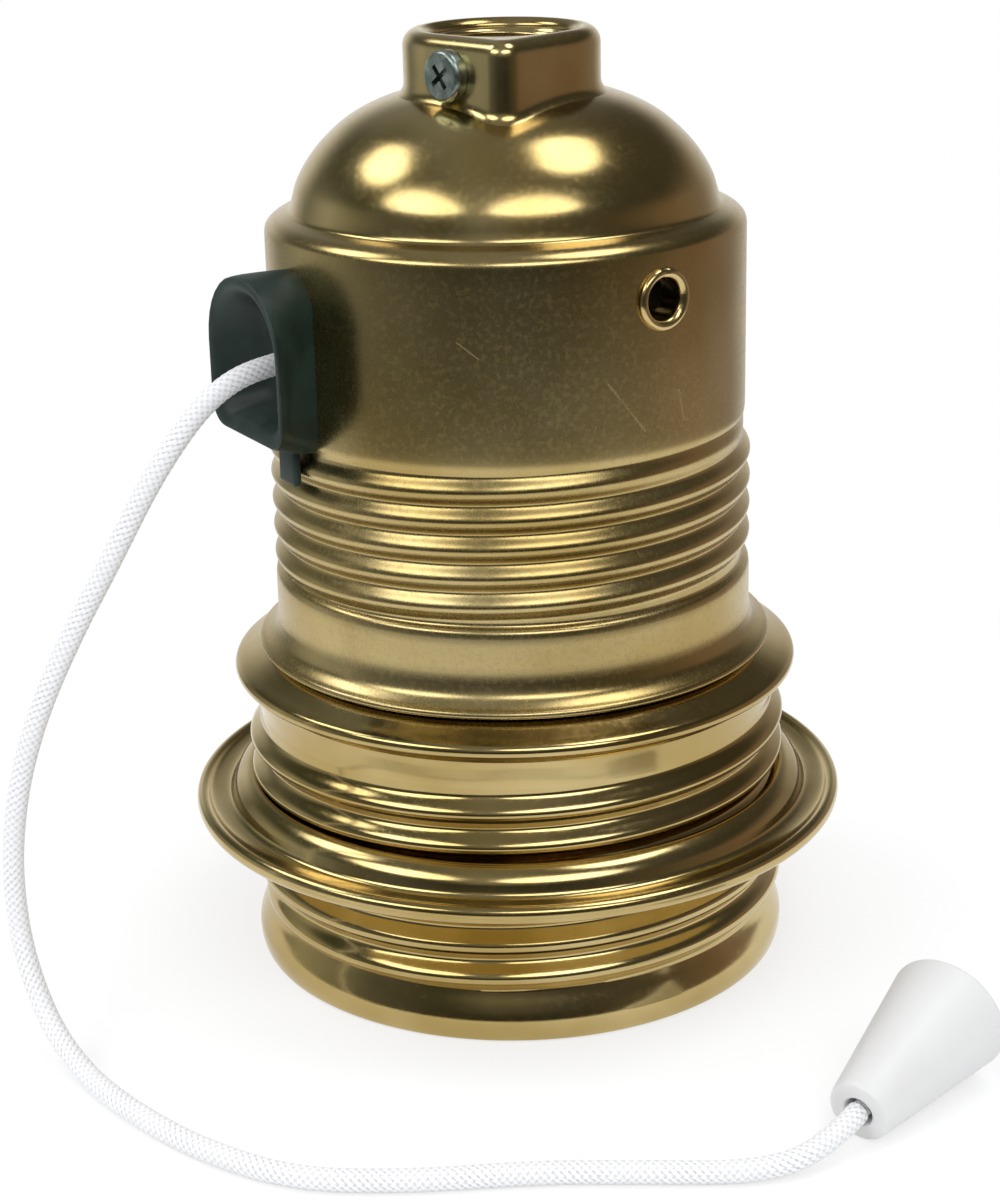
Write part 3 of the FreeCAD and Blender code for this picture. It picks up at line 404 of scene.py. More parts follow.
# ---------------------------------------------------------------------------------------------
# Entry nut. A turned brass bush with an M10 x 1 thread, pressed up into the neck. Its flange
# bears under the dome, and the hanging tube or gland screws into it.

ENTRY_R = 4.6
ENTRY_FOOT = 61.75
ENTRY_TOP = 67.4

bore_line = even_line((ENTRY_R - 0.28, ENTRY_FOOT - 0.1), (ENTRY_R - 0.28, ENTRY_TOP + 0.1), 0.125)


def work_in(grain, tint, tones, rough, dents):
    """Lets one grain mark a finish: its tint runs from the deep tone to the pale one, and it adds to
    the least roughness and makes dents of a depth and strength."""
    tint.blend(*tones).feed("Base Color")
    (rough[0] + rough[1] * grain).feed("Roughness")
    grain.bump(*dents).feed("Normal")


nut_line = ([(ENTRY_R + 0.25, ENTRY_FOOT)] + bore_line + [(ENTRY_R + 0.25, ENTRY_TOP), (5.7, ENTRY_TOP),
            (5.7, ENTRY_FOOT + 1.1), (7.5, ENTRY_FOOT + 1.1), (7.6, ENTRY_FOOT + 1.0),
            (7.6, ENTRY_FOOT + 0.1), (7.5, ENTRY_FOOT)])
nut = spun(nut_line, 96, closed=True)
roll_thread(nut, 0.42, 1.0, 63.0, -1.6, 5.6, 0.2, 1.0, (ENTRY_R - 0.3, ENTRY_R - 0.2))
entry = as_piece(nut, "entry_thread", "holder", 60)
turned_brass, place = new_finish("turned_brass", {"Metallic": 1.0})
lathe = place.stretched(1, 1, 14).noise(420, 3, 0.6)
work_in(lathe, lathe, ((0.55, 0.42, 0.18, 1), (0.66, 0.52, 0.25, 1)), (0.14, 0.12), (0.01, 0.5))
dress(entry, turned_brass)
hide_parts("entry_nut")


# ---------------------------------------------------------------------------------------------
# Stop screw. A small zinc-plated steel screw with a rounded cheese head and a cross recess. It
# goes through the left flat of the neck and bears on the tube, so that the tube can't unscrew.

STOP_Z = 65.5
STOP_ALONG = 2.15           # from the flat's end on the round back to the screw
HEAD_R = 1.75
HEAD_T = 0.95
HEAD_ROUND = 0.38
SHANK_R = 1.25
SHANK_LENGTH = 2.2
SUNK = 0.02                 # how far pieces of the screw reach into each other
CROSS_ARM = (2.15, 0.42, 1.1)
CROSS_TAPER = 0.72
CROSS_TURN = math.radians(38)

screw = bmesh.new()
bmesh.ops.create_cone(screw, cap_ends=True, segments=40, radius1=HEAD_R * MM, radius2=HEAD_R * MM,
                      depth=HEAD_T * MM, matrix=Matrix.Translation((0, 0, HEAD_T / 2 * MM)))
top_rim = [e for e in screw.edges if all(v.co.z > 0.9 * HEAD_T * MM for v in e.verts)
           and len(e.link_faces) == 2]
bmesh.ops.bevel(screw, geom=top_rim, offset=HEAD_ROUND * MM, offset_type="OFFSET", segments=5, profile=0.5,
                affect="EDGES", material=-1)
shank_middle = Matrix.Translation((0, 0, (SUNK - SHANK_LENGTH / 2) * MM))
bmesh.ops.create_cone(screw, cap_ends=True, segments=32, radius1=SHANK_R * MM, radius2=SHANK_R * MM,
                      depth=SHANK_LENGTH * MM, matrix=shank_middle)
stop = as_piece(screw, "stop_screw_head", "holder", 50)
for turn in (CROSS_TURN, CROSS_TURN + math.pi / 2):
    arm = bmesh.new()
    bmesh.ops.create_cube(arm, size=1, matrix=Matrix.Rotation(turn, 4, "Z") @ Matrix.Diagonal(
        (*(size * MM for size in CROSS_ARM), 1)))
    for vert in arm.verts:
        if vert.co.z < 0:
            vert.co.x *= CROSS_TAPER
            vert.co.y *= CROSS_TAPER
        vert.co.z += (HEAD_T + SUNK) * MM
    bmesh.ops.recalc_face_normals(arm, faces=arm.faces)
    cut_out(stop, as_object(arm, "cross_arm"))
spread = math.acos((NECK_BACK_R - NOSE_R) / NOSE_OUT)
flat_normal = Vector((-math.sin(spread), -math.cos(spread), 0))
flat_along = Vector((math.cos(spread), -math.sin(spread), 0))
seat = flat_normal * (NECK_BACK_R + SUNK) + flat_along * STOP_ALONG + Vector((0, 0, STOP_Z))
facing = Matrix((flat_along, (0, 0, 1), flat_normal)).transposed().to_4x4()
stop.data.transform(Matrix.Translation(seat * MM) @ facing)
smooth(stop, 50)
zinc, place = new_finish("zinc_plate", {"Metallic": 1.0})
bloom = place.noise(900, 3, 0.6)
work_in(bloom, bloom.step(0.35, 0.7), ((0.22, 0.27, 0.24, 1), (0.52, 0.58, 0.54, 1)), (0.24, 0.2),
        (0.015, 0.5))
dress(stop, zinc)
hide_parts("stop_screw")


# ---------------------------------------------------------------------------------------------
# Skirt. The lower shell with its neck, folded stop flange, rolled M40 x 2.5 shade thread and rim
# bead, drawn from thin steel and brass plated. Its neck screws up inside the cap.

RIM_R = 20.0
ROOT_R = 19.1
SHADE_PITCH = 2.5
FIRST_CREST_Z = 4.95

skirt_line = soft_line([(18.7, 0.75), (18.95, 0.2), (19.35, 0.02), (19.8, 0.2), (RIM_R, 0.8),
                        (RIM_R + 0.03, 1.5), (19.92, 2.0), (19.6, 2.75), (19.3, 3.35), (ROOT_R, 3.8)], 4)
skirt_line += even_line((ROOT_R, 3.85), (ROOT_R, 19.3), 0.125)
skirt_line += even_line((ROOT_R, 19.3), (19.5, 21.2), 0.6)
skirt_line += soft_line([(19.5, 21.2), (19.65, 21.5), (19.9, 21.66), (20.3, 21.8), (20.7, 22.05),
                         (20.8, 22.4), (20.65, 22.75), (20.3, 22.95), (19.6, 23.25), (18.4, 23.86),
                         (17.2, 24.7), (16.55, 25.4), (16.35, 26.4)], 4)
skirt_line += even_line((16.35, 26.4), (16.35, 39.5), 1.5)
skirt = spun(skirt_line, 176)
face_outwards(skirt, 10, 12)
roll_thread(skirt, RIM_R - ROOT_R, SHADE_PITCH, FIRST_CREST_Z, -0.35, 5.6, 0.3, 0.85,
            (ROOT_R - 0.03, ROOT_R + 0.03))
bmesh.ops.solidify(skirt, geom=skirt.faces[:], thickness=SHEET * MM)
lower = as_piece(skirt, "skirt", "holder", 40)
dress(lower, brass_plating("skirt_brass", 0.10, 0.35))
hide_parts("skirt_shell")


# ---------------------------------------------------------------------------------------------
# Shade ring. A pressed brass-plated ring with a threaded collar, a dished flange and a rolled
# rim. It screws up the skirt and clamps the lamp shade against the stop flange.

RING_BORE = 19.75

ring_line = soft_line([(RING_BORE + 0.1, 11.2), (21.3, 11.35), (22.6, 11.3), (23.35, 11.2), (23.85, 11.27),
                       (24.18, 11.6), (24.25, 12.0), (24.12, 12.35), (23.8, 12.55), (23.45, 12.48),
                       (23.1, 12.2), (22.5, 12.1), (21.9, 12.14), (21.6, 12.35), (21.45, 12.7),
                       (21.3, 13.1), (20.95, 13.55), (20.5, 13.88), (20.1, 14.02),
                       (RING_BORE + 0.1, 13.98)], 4)
ring_line += even_line((RING_BORE, 11.3), (RING_BORE, 13.95), 0.125)[::-1]
ring = spun(ring_line, 176, closed=True)
roll_thread(ring, 0.36, SHADE_PITCH, FIRST_CREST_Z + SHADE_PITCH * 2.5, -0.55, 1.55, 0.2, 1.0,
            (RING_BORE - 0.02, RING_BORE + 0.02))
collar = as_piece(ring, "ring", "ring", 40)
dress(collar, brass_plating("ring_brass", 0.12, 0.3))
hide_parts("shade_ring")


# ---------------------------------------------------------------------------------------------
# Lamp screw shell. Thin nickel-plated brass, rolled to the E27 thread and riveted to the floor
# of the ceramic by its inner flange. It is the second contact of the lamp.

SCREW_SHELL_R = 13.6
LAMP_PITCH = 3.63

shell_line = soft_line([(10.0, 25.1), (12.6, 25.1), (13.3, 25.0), (SCREW_SHELL_R, 24.6),
                        (SCREW_SHELL_R, 24.2)], 3)
shell_line += even_line((SCREW_SHELL_R, 24.2), (SCREW_SHELL_R, 3.6), 0.26) + [(SCREW_SHELL_R, 3.6)]
lamp_shell = spun(shell_line, 112)
roll_thread(lamp_shell, -1.15, LAMP_PITCH, 6.2, -0.4, 5.2, 0.4, 0.9,
            (SCREW_SHELL_R - 0.02, SCREW_SHELL_R + 0.02))
bmesh.ops.solidify(lamp_shell, geom=lamp_shell.faces[:], thickness=0.02 * MM)
nickel_shell = as_piece(lamp_shell, "lamp_shell", "holder", 50)
nickel, place = new_finish("nickel_plate", {"Metallic": 1.0})
haze = place.noise(300, 3, 0.55)
work_in(haze, haze.step(0.35, 0.7), ((0.52, 0.49, 0.43, 1), (0.68, 0.65, 0.58, 1)), (0.16, 0.16), (0.01, 0.4))
dress(nickel_shell, nickel)
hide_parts("lamp_screw_shell")


# ---------------------------------------------------------------------------------------------
# Ceramic cup. White glazed steatite, pressed and fired, with the floor that carries the contacts.
# The terminal block on the carrier is the same ceramic.

ceramic, place = new_finish("glazed_ceramic", {"Coat Roughness": 0.08})
flecks = place.noise(500, 4, 0.6)
work_in(flecks, flecks.step(0.3, 0.75), ((0.74, 0.73, 0.69, 1), (0.82, 0.81, 0.78, 1)), (0.30, 0.18),
        (0.02, 0.3))
flecks.step(0.4, 0.9).feed("Coat Weight")
for node in ("socket_ceramic", "terminal_block"):
    dress(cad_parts[node], ceramic)


# ---------------------------------------------------------------------------------------------
# Contacts and rivets. The centre tongue, the leaves and the rotor's band are phosphor bronze, the
# rivets and the terminals are plain brass.

bronze, place = new_finish("spring_bronze", {"Metallic": 1.0})
warmth = place.noise(350, 3, 0.55)
work_in(warmth, warmth.step(0.3, 0.7), ((0.56, 0.33, 0.16, 1), (0.72, 0.47, 0.24, 1)), (0.20, 0.18),
        (0.008, 0.4))
for node in ("centre_contact", "contact_leaves", "return_leaf", "rotor_band"):
    dress(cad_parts[node], bronze)

for node in ("shell_rivets", "centre_rivet", "terminal_posts"):
    dress(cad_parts[node], turned_brass)


# ---------------------------------------------------------------------------------------------
# Switch. A dark thermoset block with the chamber that the lever, the pawl and the ratchet work
# in, a pale rotor, and a lever, pawl and axle of bright steel.

block_finish, place = new_finish("dark_thermoset", {"Specular IOR Level": 0.45})
filler = place.noise(1400, 4, 0.65)
work_in(filler, filler.step(0.35, 0.75), ((0.022, 0.020, 0.018, 1), (0.055, 0.048, 0.042, 1)), (0.34, 0.2),
        (0.02, 0.4))
dress(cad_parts["switch_body"], block_finish)

rotor_finish, place = new_finish("pale_nylon", {"Subsurface Weight": 0.05})
milky = place.noise(800, 3, 0.5)
work_in(milky, milky, ((0.66, 0.63, 0.54, 1), (0.74, 0.71, 0.63, 1)), (0.38, 0.14), (0.01, 0.3))
dress(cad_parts["switch_rotor"], rotor_finish)

bright_steel, place = new_finish("bright_steel", {"Metallic": 1.0})
drawn = place.stretched(1, 1, 6).noise(700, 3, 0.6)
work_in(drawn, drawn.step(0.3, 0.7), ((0.40, 0.41, 0.42, 1), (0.56, 0.57, 0.58, 1)), (0.22, 0.2), (0.01, 0.4))
for node in ("lever_axle", "switch_lever", "drive_pawl", "carrier_plate", "stack_screws", "terminal_screws",
             "earth_screw", "earth_washer"):
    dress(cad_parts[node], bright_steel)


# ---------------------------------------------------------------------------------------------
# Eyelets. Two tubular brass rivets that hold the carrier in the barrel. The end is rolled over
# outside, and splits a little at the bottom as it rolls.

EYELET_LIP_R = 2.1
EYELET_HOLE_R = 1.35
SPLIT_FROM_R = 1.45
SPLIT_DEPTH = 0.22
SPLIT_HALF = math.radians(9)

eyelet_line = soft_line([(EYELET_HOLE_R, -1.7), (EYELET_HOLE_R, -0.4), (1.38, -0.05), (1.5, 0.2),
                         (1.75, 0.36), (1.98, 0.3), (EYELET_LIP_R, 0.12), (2.06, -0.02), (1.9, -0.08),
                         (EYELET_R, -0.12)], 4)
eyelet_line += [(EYELET_R, -1.3), (EYELET_LIP_R, -1.32), (EYELET_LIP_R, -1.65)]
eyelets = bmesh.new()
for angle in (EYELET_ANGLE, EYELET_ANGLE + math.pi):
    one = spun(eyelet_line, 48, closed=True)
    for vert in one.verts:
        away = math.hypot(vert.co.x, vert.co.y) / MM
        down = abs(math.atan2(vert.co.y, -vert.co.x)) / SPLIT_HALF
        if away > SPLIT_FROM_R and vert.co.z / MM > -0.11 and down < 1:
            vert.co.z -= SPLIT_DEPTH * MM * (1 - down) * (away - SPLIT_FROM_R) / 0.6
    on_side = Matrix.Translation((BARREL_R * MM, 0, EYELET_Z * MM)) @ Matrix.Rotation(math.pi / 2, 4, "Y")
    bmesh.ops.transform(one, matrix=Matrix.Rotation(angle, 4, "Z") @ on_side, verts=one.verts)
    part = bpy.data.meshes.new("eyelet")
    one.to_mesh(part)
    one.free()
    eyelets.from_mesh(part)
    bpy.data.meshes.remove(part)
rivets = as_piece(eyelets, "eyelets", "holder", 60)
dress(rivets, turned_brass)
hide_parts("body_eyelets")


# ---------------------------------------------------------------------------------------------
# Cord outlet. A green-black moulded bell mouth that leads the cord out through the slot in the
# barrel, with a tongue that runs down over the first rib. A lip behind the slot holds it.

TONGUE = (0.62, 2.4, 3.0)
TONGUE_X = 17.72
TONGUE_Z = 39.7
TONGUE_EDGE = 0.22


def outlet_ring(bm, x, half, low, high, top_round, foot_round):
    """One upright ring of the outlet at distance x along the cord."""
    verts = []
    for quarter, (side, z, radius) in enumerate([(1, high, top_round), (-1, high, top_round),
                                                 (-1, low, foot_round), (1, low, foot_round)]):
        centre_y = side * (half - radius)
        centre_z = z - radius if z == high else z + radius
        for step in range(9):
            angle = math.pi / 2 * (quarter + step / 8)
            y = centre_y + radius * math.cos(angle)
            verts.append(bm.verts.new((x * MM, y * MM, (centre_z + radius * math.sin(angle)) * MM)))
    return [bm.edges.new(pair) for pair in zip(verts, verts[1:] + verts[:1])]


outlet = bmesh.new()
rings = [outlet_ring(outlet, *sizes) for sizes in (
    (15.4, 2.5, 40.6, 53.0, 2.3, 1.2),
    (16.4, 2.6, 40.5, 53.05, 2.4, 1.2),
    (17.6, 3.05, 40.7, 53.1, 2.8, 1.3),
    (18.8, 3.8, 41.1, 53.1, 3.5, 1.5),
    (19.9, 4.75, 41.6, 53.05, 4.3, 1.7),
    (20.5, 5.35, 41.85, 53.0, 4.9, 1.8),
    (20.75, 5.5, 41.95, 52.95, 5.0, 1.8),
    (20.85, 5.45, 42.05, 52.85, 4.95, 1.75),
    (20.85, 5.15, 42.35, 52.5, 4.65, 1.7),
    (20.7, 4.8, 42.7, 52.15, 4.3, 1.6),
    (20.2, 4.4, 43.0, 51.8, 3.9, 1.5),
    (19.2, 3.6, 43.4, 51.2, 3.2, 1.4),
    (18.3, 2.9, 43.8, 50.6, 2.6, 1.2),
    (17.75, 2.4, 44.2, 50.1, 2.1, 1.1),
    (17.5, 1.9, 44.8, 49.4, 1.6, 1.0),
    (17.45, 0.9, 46.1, 47.9, 0.85, 0.85),
)]
for lower_ring, upper_ring in zip(rings, rings[1:]):
    bmesh.ops.bridge_loops(outlet, edges=lower_ring + upper_ring)
bmesh.ops.holes_fill(outlet, edges=rings[0] + rings[-1], sides=0)
bmesh.ops.recalc_face_normals(outlet, faces=outlet.faces)
tongue = bmesh.ops.create_cube(outlet, size=1, matrix=Matrix.Translation((TONGUE_X * MM, 0, TONGUE_Z * MM))
                               @ Matrix.Diagonal((*(size * MM for size in TONGUE), 1)))
tongue_edges = {e for v in tongue["verts"] for e in v.link_edges}
bmesh.ops.bevel(outlet, geom=list(tongue_edges), offset=TONGUE_EDGE * MM, offset_type="OFFSET", segments=3,
                profile=0.5, affect="EDGES", material=-1)
bmesh.ops.transform(outlet, matrix=Matrix.Rotation(CORD_ANGLE, 4, "Z"), verts=outlet.verts)
mouth = as_piece(outlet, "outlet", "holder", 35)
moulding, place = new_finish("green_black_moulding", {"Specular IOR Level": 0.4})
bloom = place.noise(260, 3, 0.55)
fine = place.noise(2600, 3, 0.6)
bloom.step(0.35, 0.7).blend((0.0075, 0.019, 0.0145, 1), (0.016, 0.036, 0.028, 1)).feed("Base Color")
(0.42 + 0.16 * bloom).feed("Roughness")
fine.bump(0.012, 0.5).feed("Normal")
dress(mouth, moulding)
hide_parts("cord_outlet")


# ---------------------------------------------------------------------------------------------
# Pull cord. White braided polyester, 1.5 mm thick, sixteen carriers round. It leaves the outlet,
# bows down to the table and lies loosely round the front of the holder to the cone.

CORD_R = 0.75
CORD_ROUTE = [              # in metres
    (-0.01178, -0.0068, 0.047), (-0.01576, -0.0091, 0.047), (-0.02, -0.0114, 0.0457),
    (-0.024, -0.0128, 0.0407), (-0.0275, -0.0135, 0.0344), (-0.0311, -0.0143, 0.0282),
    (-0.034, -0.0151, 0.0218), (-0.0356, -0.0158, 0.015), (-0.0356, -0.0166, 0.0082),
    (-0.0336, -0.0196, 0.0029), (-0.0302, -0.0244, 0.00085), (-0.026, -0.0296, 0.00078),
    (-0.021, -0.0343, 0.00078), (-0.0149, -0.0379, 0.0008), (-0.0075, -0.0384, 0.00078),
    (0.0005, -0.0377, 0.00078), (0.008, -0.0381, 0.0008), (0.0144, -0.0384, 0.0008),
    (0.01868, -0.037, 0.00141), (0.0213, -0.0338, 0.00217),
]


def laid_line(name, route, resolution):
    """Points along the smooth line of a route in metres."""
    curve = bpy.data.curves.new(name, "CURVE")
    curve.dimensions = "3D"
    spline = curve.splines.new("NURBS")
    spline.points.add(len(route) - 1)
    for point, spot in zip(spline.points, route):
        point.co = (*spot, 1)
    spline.order_u = 3
    spline.use_endpoint_u = True
    spline.resolution_u = resolution
    laid = bpy.data.objects.new(name, curve)
    bpy.context.collection.objects.link(laid)
    bpy.context.view_layer.update()
    line = bpy.data.meshes.new_from_object(laid.evaluated_get(bpy.context.evaluated_depsgraph_get()))
    points = [v.co.copy() for v in line.vertices]
    bpy.data.objects.remove(laid)
    return points


def even_points(points, gap):
    """The same line with its points evenly apart."""
    spots = [points[0]]
    left = gap
    for a, b in zip(points, points[1:]):
        run = (b - a).length
        while run >= left > 0:
            a = a.lerp(b, left / run)
            run -= left
            spots.append(a.copy())
            left = gap
        left -= run
    return spots + [points[-1]]


CARRIERS = 8                # in each of the two directions
LAY = 1.35                  # length of braid over which a carrier moves on by two places
BRAID_RELIEF = 0.12


def braid(name, points, radius, body, sides):
    """A braided cord along points. Two sets of carriers cross over and under each other."""
    bm = bmesh.new()
    # Each vertex keeps its strand height in the strand layer, which the cord's colour turns into painted
    # shade in the gaps.
    strand = bm.verts.layers.float.new("strand")
    loops = []
    side = (points[1] - points[0]).orthogonal().normalized()
    gone = 0.0
    for i, spot in enumerate(points):
        ahead = points[min(i + 1, len(points) - 1)] - points[max(i - 1, 0)]
        ahead.normalize()
        side = (side - ahead * side.dot(ahead)).normalized()
        other = ahead.cross(side)
        if i:
            gone += (spot - points[i - 1]).length / MM
        verts = []
        for k in range(sides):
            angle = 2 * math.pi * k / sides
            left_hand = CARRIERS * (angle / (2 * math.pi) + gone / (math.pi * LAY))
            right_hand = CARRIERS * (angle / (2 * math.pi) - gone / (math.pi * LAY))
            over = math.sin(math.pi * left_hand) * math.sin(math.pi * right_hand)
            share = ease(0.5 + 0.9 * over)
            first = abs(math.sin(math.pi * left_hand)) ** 0.6
            second = abs(math.sin(math.pi * right_hand)) ** 0.6
            height = max(first * (0.35 + 0.65 * share), second * (0.35 + 0.65 * (1 - share)))
            reach = (radius + BRAID_RELIEF * (height - 0.75)) * MM
            away = side * (math.cos(angle) * reach) + other * (math.sin(angle) * reach)
            verts.append(bm.verts.new(spot + away))
            verts[-1][strand] = height
        loops.append(verts)
    for near, far in zip(loops, loops[1:]):
        for k in range(sides):
            bm.faces.new((near[k], near[(k + 1) % sides], far[(k + 1) % sides], far[k]))
    bm.faces.new(loops[0][::-1])
    bm.faces.new(loops[-1])
    bmesh.ops.recalc_face_normals(bm, faces=bm.faces)
    return as_piece(bm, name, body, 70)


cord_line = even_points(laid_line("cord_line", CORD_ROUTE, 24), 0.13 * MM)
cord = braid("braided_cord", cord_line, CORD_R, "pull", 40)
white_braid, place = new_finish("white_braid", {
    "Sheen Weight": 0.35, "Sheen Roughness": 0.5, "Specular IOR Level": 0.3})
fibres = place.noise(5200, 3, 0.65)
grime = place.noise(110, 2, 0.5)
strand = place.node("ShaderNodeAttribute", {"attribute_name": "strand"}, output="Fac")
# Painted shade: the braid's colour darkens where the strand height is low, in the gaps between crossing
# strands, with a random fibre tone over it.
gap_shade_and_fibre_tone = strand.step(0.25, 0.85) * (0.82 + 0.3 * fibres)
gap_shade_and_fibre_tone.blend((0.50, 0.50, 0.53, 1), (0.82, 0.82, 0.83, 1)).feed("Base Color")
(0.72 + 0.15 * grime).feed("Roughness")
fibres.bump(0.03, 0.6).feed("Normal")
dress(cord, white_braid)
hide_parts("pull_cord")


# ---------------------------------------------------------------------------------------------
# Pull cone. White moulded plastic, a truncated cone with the cord through its narrow end and a
# pocket in its wide end that hides the knot. It lies on its side on the table.

CONE_HEADING = math.radians(50.7)
CONE_LENGTH = 12.0
CONE_TIP_R = 2.2
CONE_MOUTH_R = 4.3

cone_flare = math.atan2(CONE_MOUTH_R - CONE_TIP_R, CONE_LENGTH)
cone_place = (Matrix.Translation(CORD_ROUTE[-1]) @ Matrix.Rotation(CONE_HEADING, 4, "Z")
              @ Matrix.Rotation(math.pi / 2 - cone_flare, 4, "Y"))
cone_line = soft_line([(0.95, 0.35), (1.05, 0.06), (1.25, 0.0), (1.9, 0.0), (2.12, 0.08), (2.23, 0.35)], 3)
cone_line += even_line((2.23, 0.35), (4.22, 11.5), 1.4)
cone_line += soft_line([(4.22, 11.5), (4.27, 11.85), (4.12, 11.98), (3.85, CONE_LENGTH),
                        (2.95, CONE_LENGTH), (2.72, 11.9), (2.62, 11.6), (2.6, 6.3), (2.4, 6.0),
                        (1.2, 5.95), (0.9, 5.7)], 3)
cone = spun(cone_line, 72, closed=True)
bmesh.ops.transform(cone, matrix=cone_place, verts=cone.verts)
pull = as_piece(cone, "cone", "pull", 40)
plastic, place = new_finish("white_moulding", {
    "Subsurface Weight": 0.12, "Subsurface Radius": (0.002, 0.002, 0.002), "Coat Roughness": 0.15})
cloud = place.noise(160, 2, 0.5)
skin = place.noise(3200, 2, 0.5)
cloud.blend((0.64, 0.635, 0.635, 1), (0.69, 0.69, 0.69, 1)).feed("Base Color")
(0.36 + 0.12 * cloud).feed("Roughness")
skin.bump(0.006, 0.4).feed("Normal")
dress(pull, plastic)
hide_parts("pull_cone")


# ---------------------------------------------------------------------------------------------
# Knots. The cord ends in a tight overhand knot inside the cone, and in another behind the tab of
# the switch lever, which stays the solid's own.

KNOT_SIZE = 0.95
KNOT_TAIL = 7.5
KNOT_CORD_R = 0.62
KNOT_UP = 7.75              # from the cone's tip to the knot's middle


def knot_route(size, tail):
    """An overhand knot drawn tight about the origin, with its tail along -Z."""
    spots = [(0, 0, -tail * MM), (0, 0, -tail / 2 * MM)]
    for i in range(13):
        t = 2 * math.pi * (0.05 + 0.9 * i / 12)
        across = size * 0.36 * (math.sin(t) + 2 * math.sin(2 * t))
        along = size * 0.36 * (math.cos(t) - 2 * math.cos(2 * t))
        spots.append((across * MM, along * MM, -size * 0.55 * math.sin(3 * t) * MM))
    return spots


tie = [cone_place @ p for p in laid_line("knot", knot_route(KNOT_SIZE, KNOT_TAIL), 6)]
cone_knot = braid("cone_knot_tie", even_points(tie, 0.16 * MM), KNOT_CORD_R, "pull", 24)
cone_knot.data.transform(Matrix.Translation((cone_place.to_3x3() @ Vector((0, 0, KNOT_UP))) * MM))
dress(cone_knot, white_braid)
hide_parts("cone_knot")

dress(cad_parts["cord_inner_end"], white_braid)

cord_line[::8] + [cord_line[-1]]


# ---------------------------------------------------------------------------------------------
# Studio. A small white table top, four soft lamps over it, and cards all round, dark in front and
# pale behind, that the metal mirrors. None of it is part of the holder.

FLOOR_R = 0.125
GLARE_FROM = 0.04           # the table fades to plain white from here
GLARE_FULL = 0.085
CARD_R = 1.1
LAMP_REACH = 0.7
LAMP_AIM = Vector((0, 0, 0.04))


def studio_finish(name):
    """An empty material for the studio, and the flow of its object coordinates."""
    material = bpy.data.materials.new(name)
    material.use_nodes = True
    tree = material.node_tree
    tree.nodes.remove(tree.nodes["Principled BSDF"])
    return material, Flow(tree, None).node("ShaderNodeTexCoord", output="Object")


def seen_plainly(flow):
    """1 for the rays that come from the camera, straight or by way of metal or glass."""
    camera_ray = flow.node("ShaderNodeLightPath", output="Is Camera Ray")
    glossy_ray = flow.node("ShaderNodeLightPath", output="Is Glossy Ray")
    clear_ray = flow.node("ShaderNodeLightPath", output="Is Transmission Ray")
    return flow.maths("MINIMUM", camera_ray + glossy_ray + clear_ray, 1.0)


table = bmesh.new()
bmesh.ops.create_circle(table, cap_ends=True, segments=96, radius=FLOOR_R)
table_top = as_object(table, "table_top")
white_card, place = studio_finish("white_card")
distance = place.node("ShaderNodeVectorMath", {"operation": "LENGTH"}, {0: place}, 1)
paper = place.node("ShaderNodeBsdfDiffuse", {}, {"Color": (0.92, 0.92, 0.92, 1)})
glow = place.node("ShaderNodeEmission", {}, {"Color": (1, 1, 1, 1), "Strength": 1.0})
glare = (0.65 + 0.35 * distance.step(GLARE_FROM, GLARE_FULL)) * seen_plainly(place)
surface = place.node("ShaderNodeMixShader", {}, {0: glare, 1: paper, 2: glow})
surface.feed("Surface", "Material Output")
dress(table_top, white_card)

cards = bmesh.new()
bmesh.ops.create_uvsphere(cards, u_segments=48, v_segments=24, radius=CARD_R)
bmesh.ops.reverse_faces(cards, faces=cards.faces)
dark_cards = as_object(cards, "dark_cards")
dark_cards.visible_camera = False
dark_cards.visible_diffuse = False
dark_cards.visible_shadow = False
card_finish, place = studio_finish("card_finish")
spread_x = place.node("ShaderNodeSeparateXYZ", {}, {0: place}, "X")
depth_y = place.node("ShaderNodeSeparateXYZ", {}, {0: place}, "Y")
height = place.node("ShaderNodeSeparateXYZ", {}, {0: place}, "Z")
turn = place.maths("ARCTAN2", spread_x, -1 * depth_y) * (0.5 / math.pi) + 0.5
walls = turn.node("ShaderNodeValToRGB", {"stops": [
    (0.0, (1.0, 1.0, 0.97, 1)), (0.08, (0.80, 0.80, 0.78, 1)), (0.13, (0.20, 0.21, 0.20, 1)),
    (0.20, (0.50, 0.52, 0.52, 1)), (0.31, (0.15, 0.155, 0.16, 1)), (0.42, (0.06, 0.062, 0.06, 1)),
    (0.54, (0.04, 0.042, 0.038, 1)), (0.66, (0.12, 0.10, 0.075, 1)), (0.77, (0.27, 0.20, 0.17, 1)),
    (0.87, (0.34, 0.30, 0.30, 1)), (0.93, (0.70, 0.69, 0.67, 1)), (1.0, (1.0, 1.0, 0.97, 1))]}, {0: turn})
across = spread_x * 0.45 + 0.5
ceiling = across.node("ShaderNodeValToRGB", {"stops": [
    (0.0, (0.07, 0.08, 0.075, 1)), (0.24, (0.09, 0.10, 0.09, 1)), (0.38, (0.28, 0.29, 0.29, 1)),
    (0.50, (0.24, 0.24, 0.24, 1)), (0.66, (0.10, 0.095, 0.085, 1)), (1.0, (0.06, 0.06, 0.05, 1))]},
    {0: across})
shade = height.step(0.2, 0.55).blend(walls, ceiling)
glow = place.node("ShaderNodeEmission", {}, {"Color": shade, "Strength": 1.0})
glow.feed("Surface", "Material Output")
dress(dark_cards, card_finish)

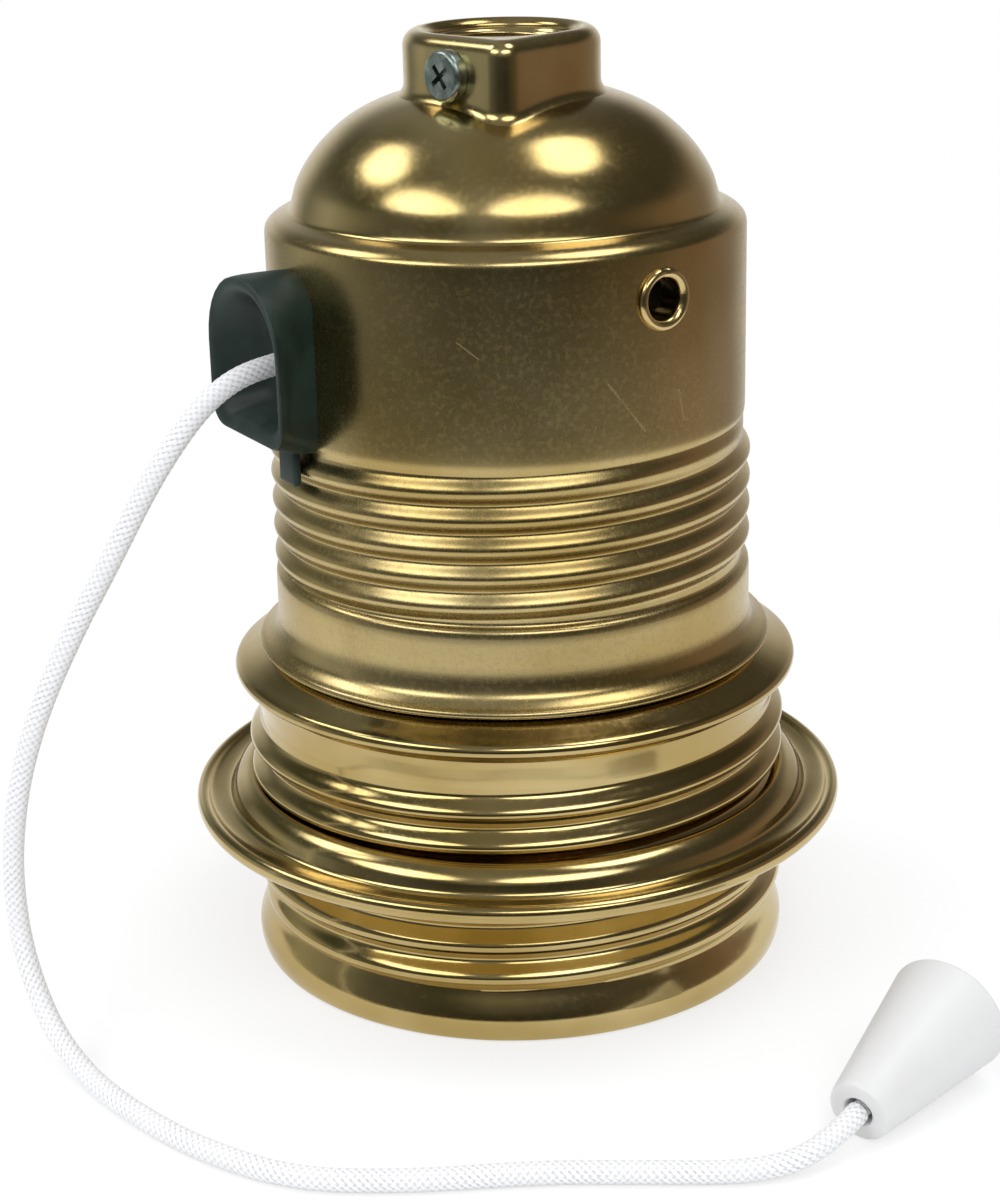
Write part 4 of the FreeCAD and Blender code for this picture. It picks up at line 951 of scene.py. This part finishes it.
for name, azimuth, elevation, width, depth, radiance in (
        ("lamp_left", -107, 48, 0.34, 0.24, 4.0), ("lamp_right", 96, 69, 0.38, 0.28, 4.0),
        ("lamp_front_left", -53, 40, 0.50, 0.26, 3.4), ("lamp_front", 18, 42, 0.54, 0.27, 3.4)):
    lamp = bpy.data.lights.new(name, "AREA")
    lamp.shape = "ELLIPSE"
    lamp.size = width
    lamp.size_y = depth
    lamp.energy = radiance * math.pi * math.pi / 4 * width * depth
    round_by = math.radians(azimuth)
    up_by = math.radians(elevation)
    towards = Vector((math.sin(round_by) * math.cos(up_by), -math.cos(round_by) * math.cos(up_by),
                      math.sin(up_by)))
    lamp_stand = bpy.data.objects.new(name, lamp)
    lamp_stand.location = towards * LAMP_REACH + LAMP_AIM
    lamp_stand.rotation_euler = towards.to_track_quat("Z", "Y").to_euler()
    bpy.context.collection.objects.link(lamp_stand)

world = bpy.data.worlds.new("white_room")
bpy.context.scene.world = world
world.use_nodes = True
start = Flow(world.node_tree, None)
room = start.node("ShaderNodeBackground", {}, {"Color": (0.97, 0.985, 1.0, 1), "Strength": 0.80})
backdrop = start.node("ShaderNodeBackground", {}, {"Color": (1, 1, 1, 1), "Strength": 1.0})
sky = start.node("ShaderNodeMixShader", {}, {0: seen_plainly(start), 1: room, 2: backdrop})
sky.feed("Surface", "World Output")

# ---------------------------------------------------------------------------------------------
# Camera. It looks slightly down on the holder from the front, a little rolled.

CAMERA_PLACE = (-0.00164, -0.1751, 0.0874)
LENS = 74.79
pitch = math.radians(19.29)
yaw = math.radians(0.21)
roll = math.radians(-1.34)
forward = Vector((math.sin(yaw) * math.cos(pitch), math.cos(yaw) * math.cos(pitch), -math.sin(pitch)))
level = Vector((math.cos(yaw), -math.sin(yaw), 0))
upward = level.cross(forward)
right = math.cos(roll) * level + math.sin(roll) * upward
up = -math.sin(roll) * level + math.cos(roll) * upward
camera_data = bpy.data.cameras.new("camera")
camera_data.sensor_width = 36
camera_data.sensor_fit = "AUTO"
camera_data.lens = LENS
camera_data.clip_start = 0.01
camera = bpy.data.objects.new("camera", camera_data)
camera.matrix_world = Matrix.Translation(CAMERA_PLACE) @ Matrix((right, up, -forward)).transposed().to_4x4()
bpy.context.collection.objects.link(camera)
bpy.context.scene.camera = camera
bpy.context.scene.view_settings.view_transform = "Standard"
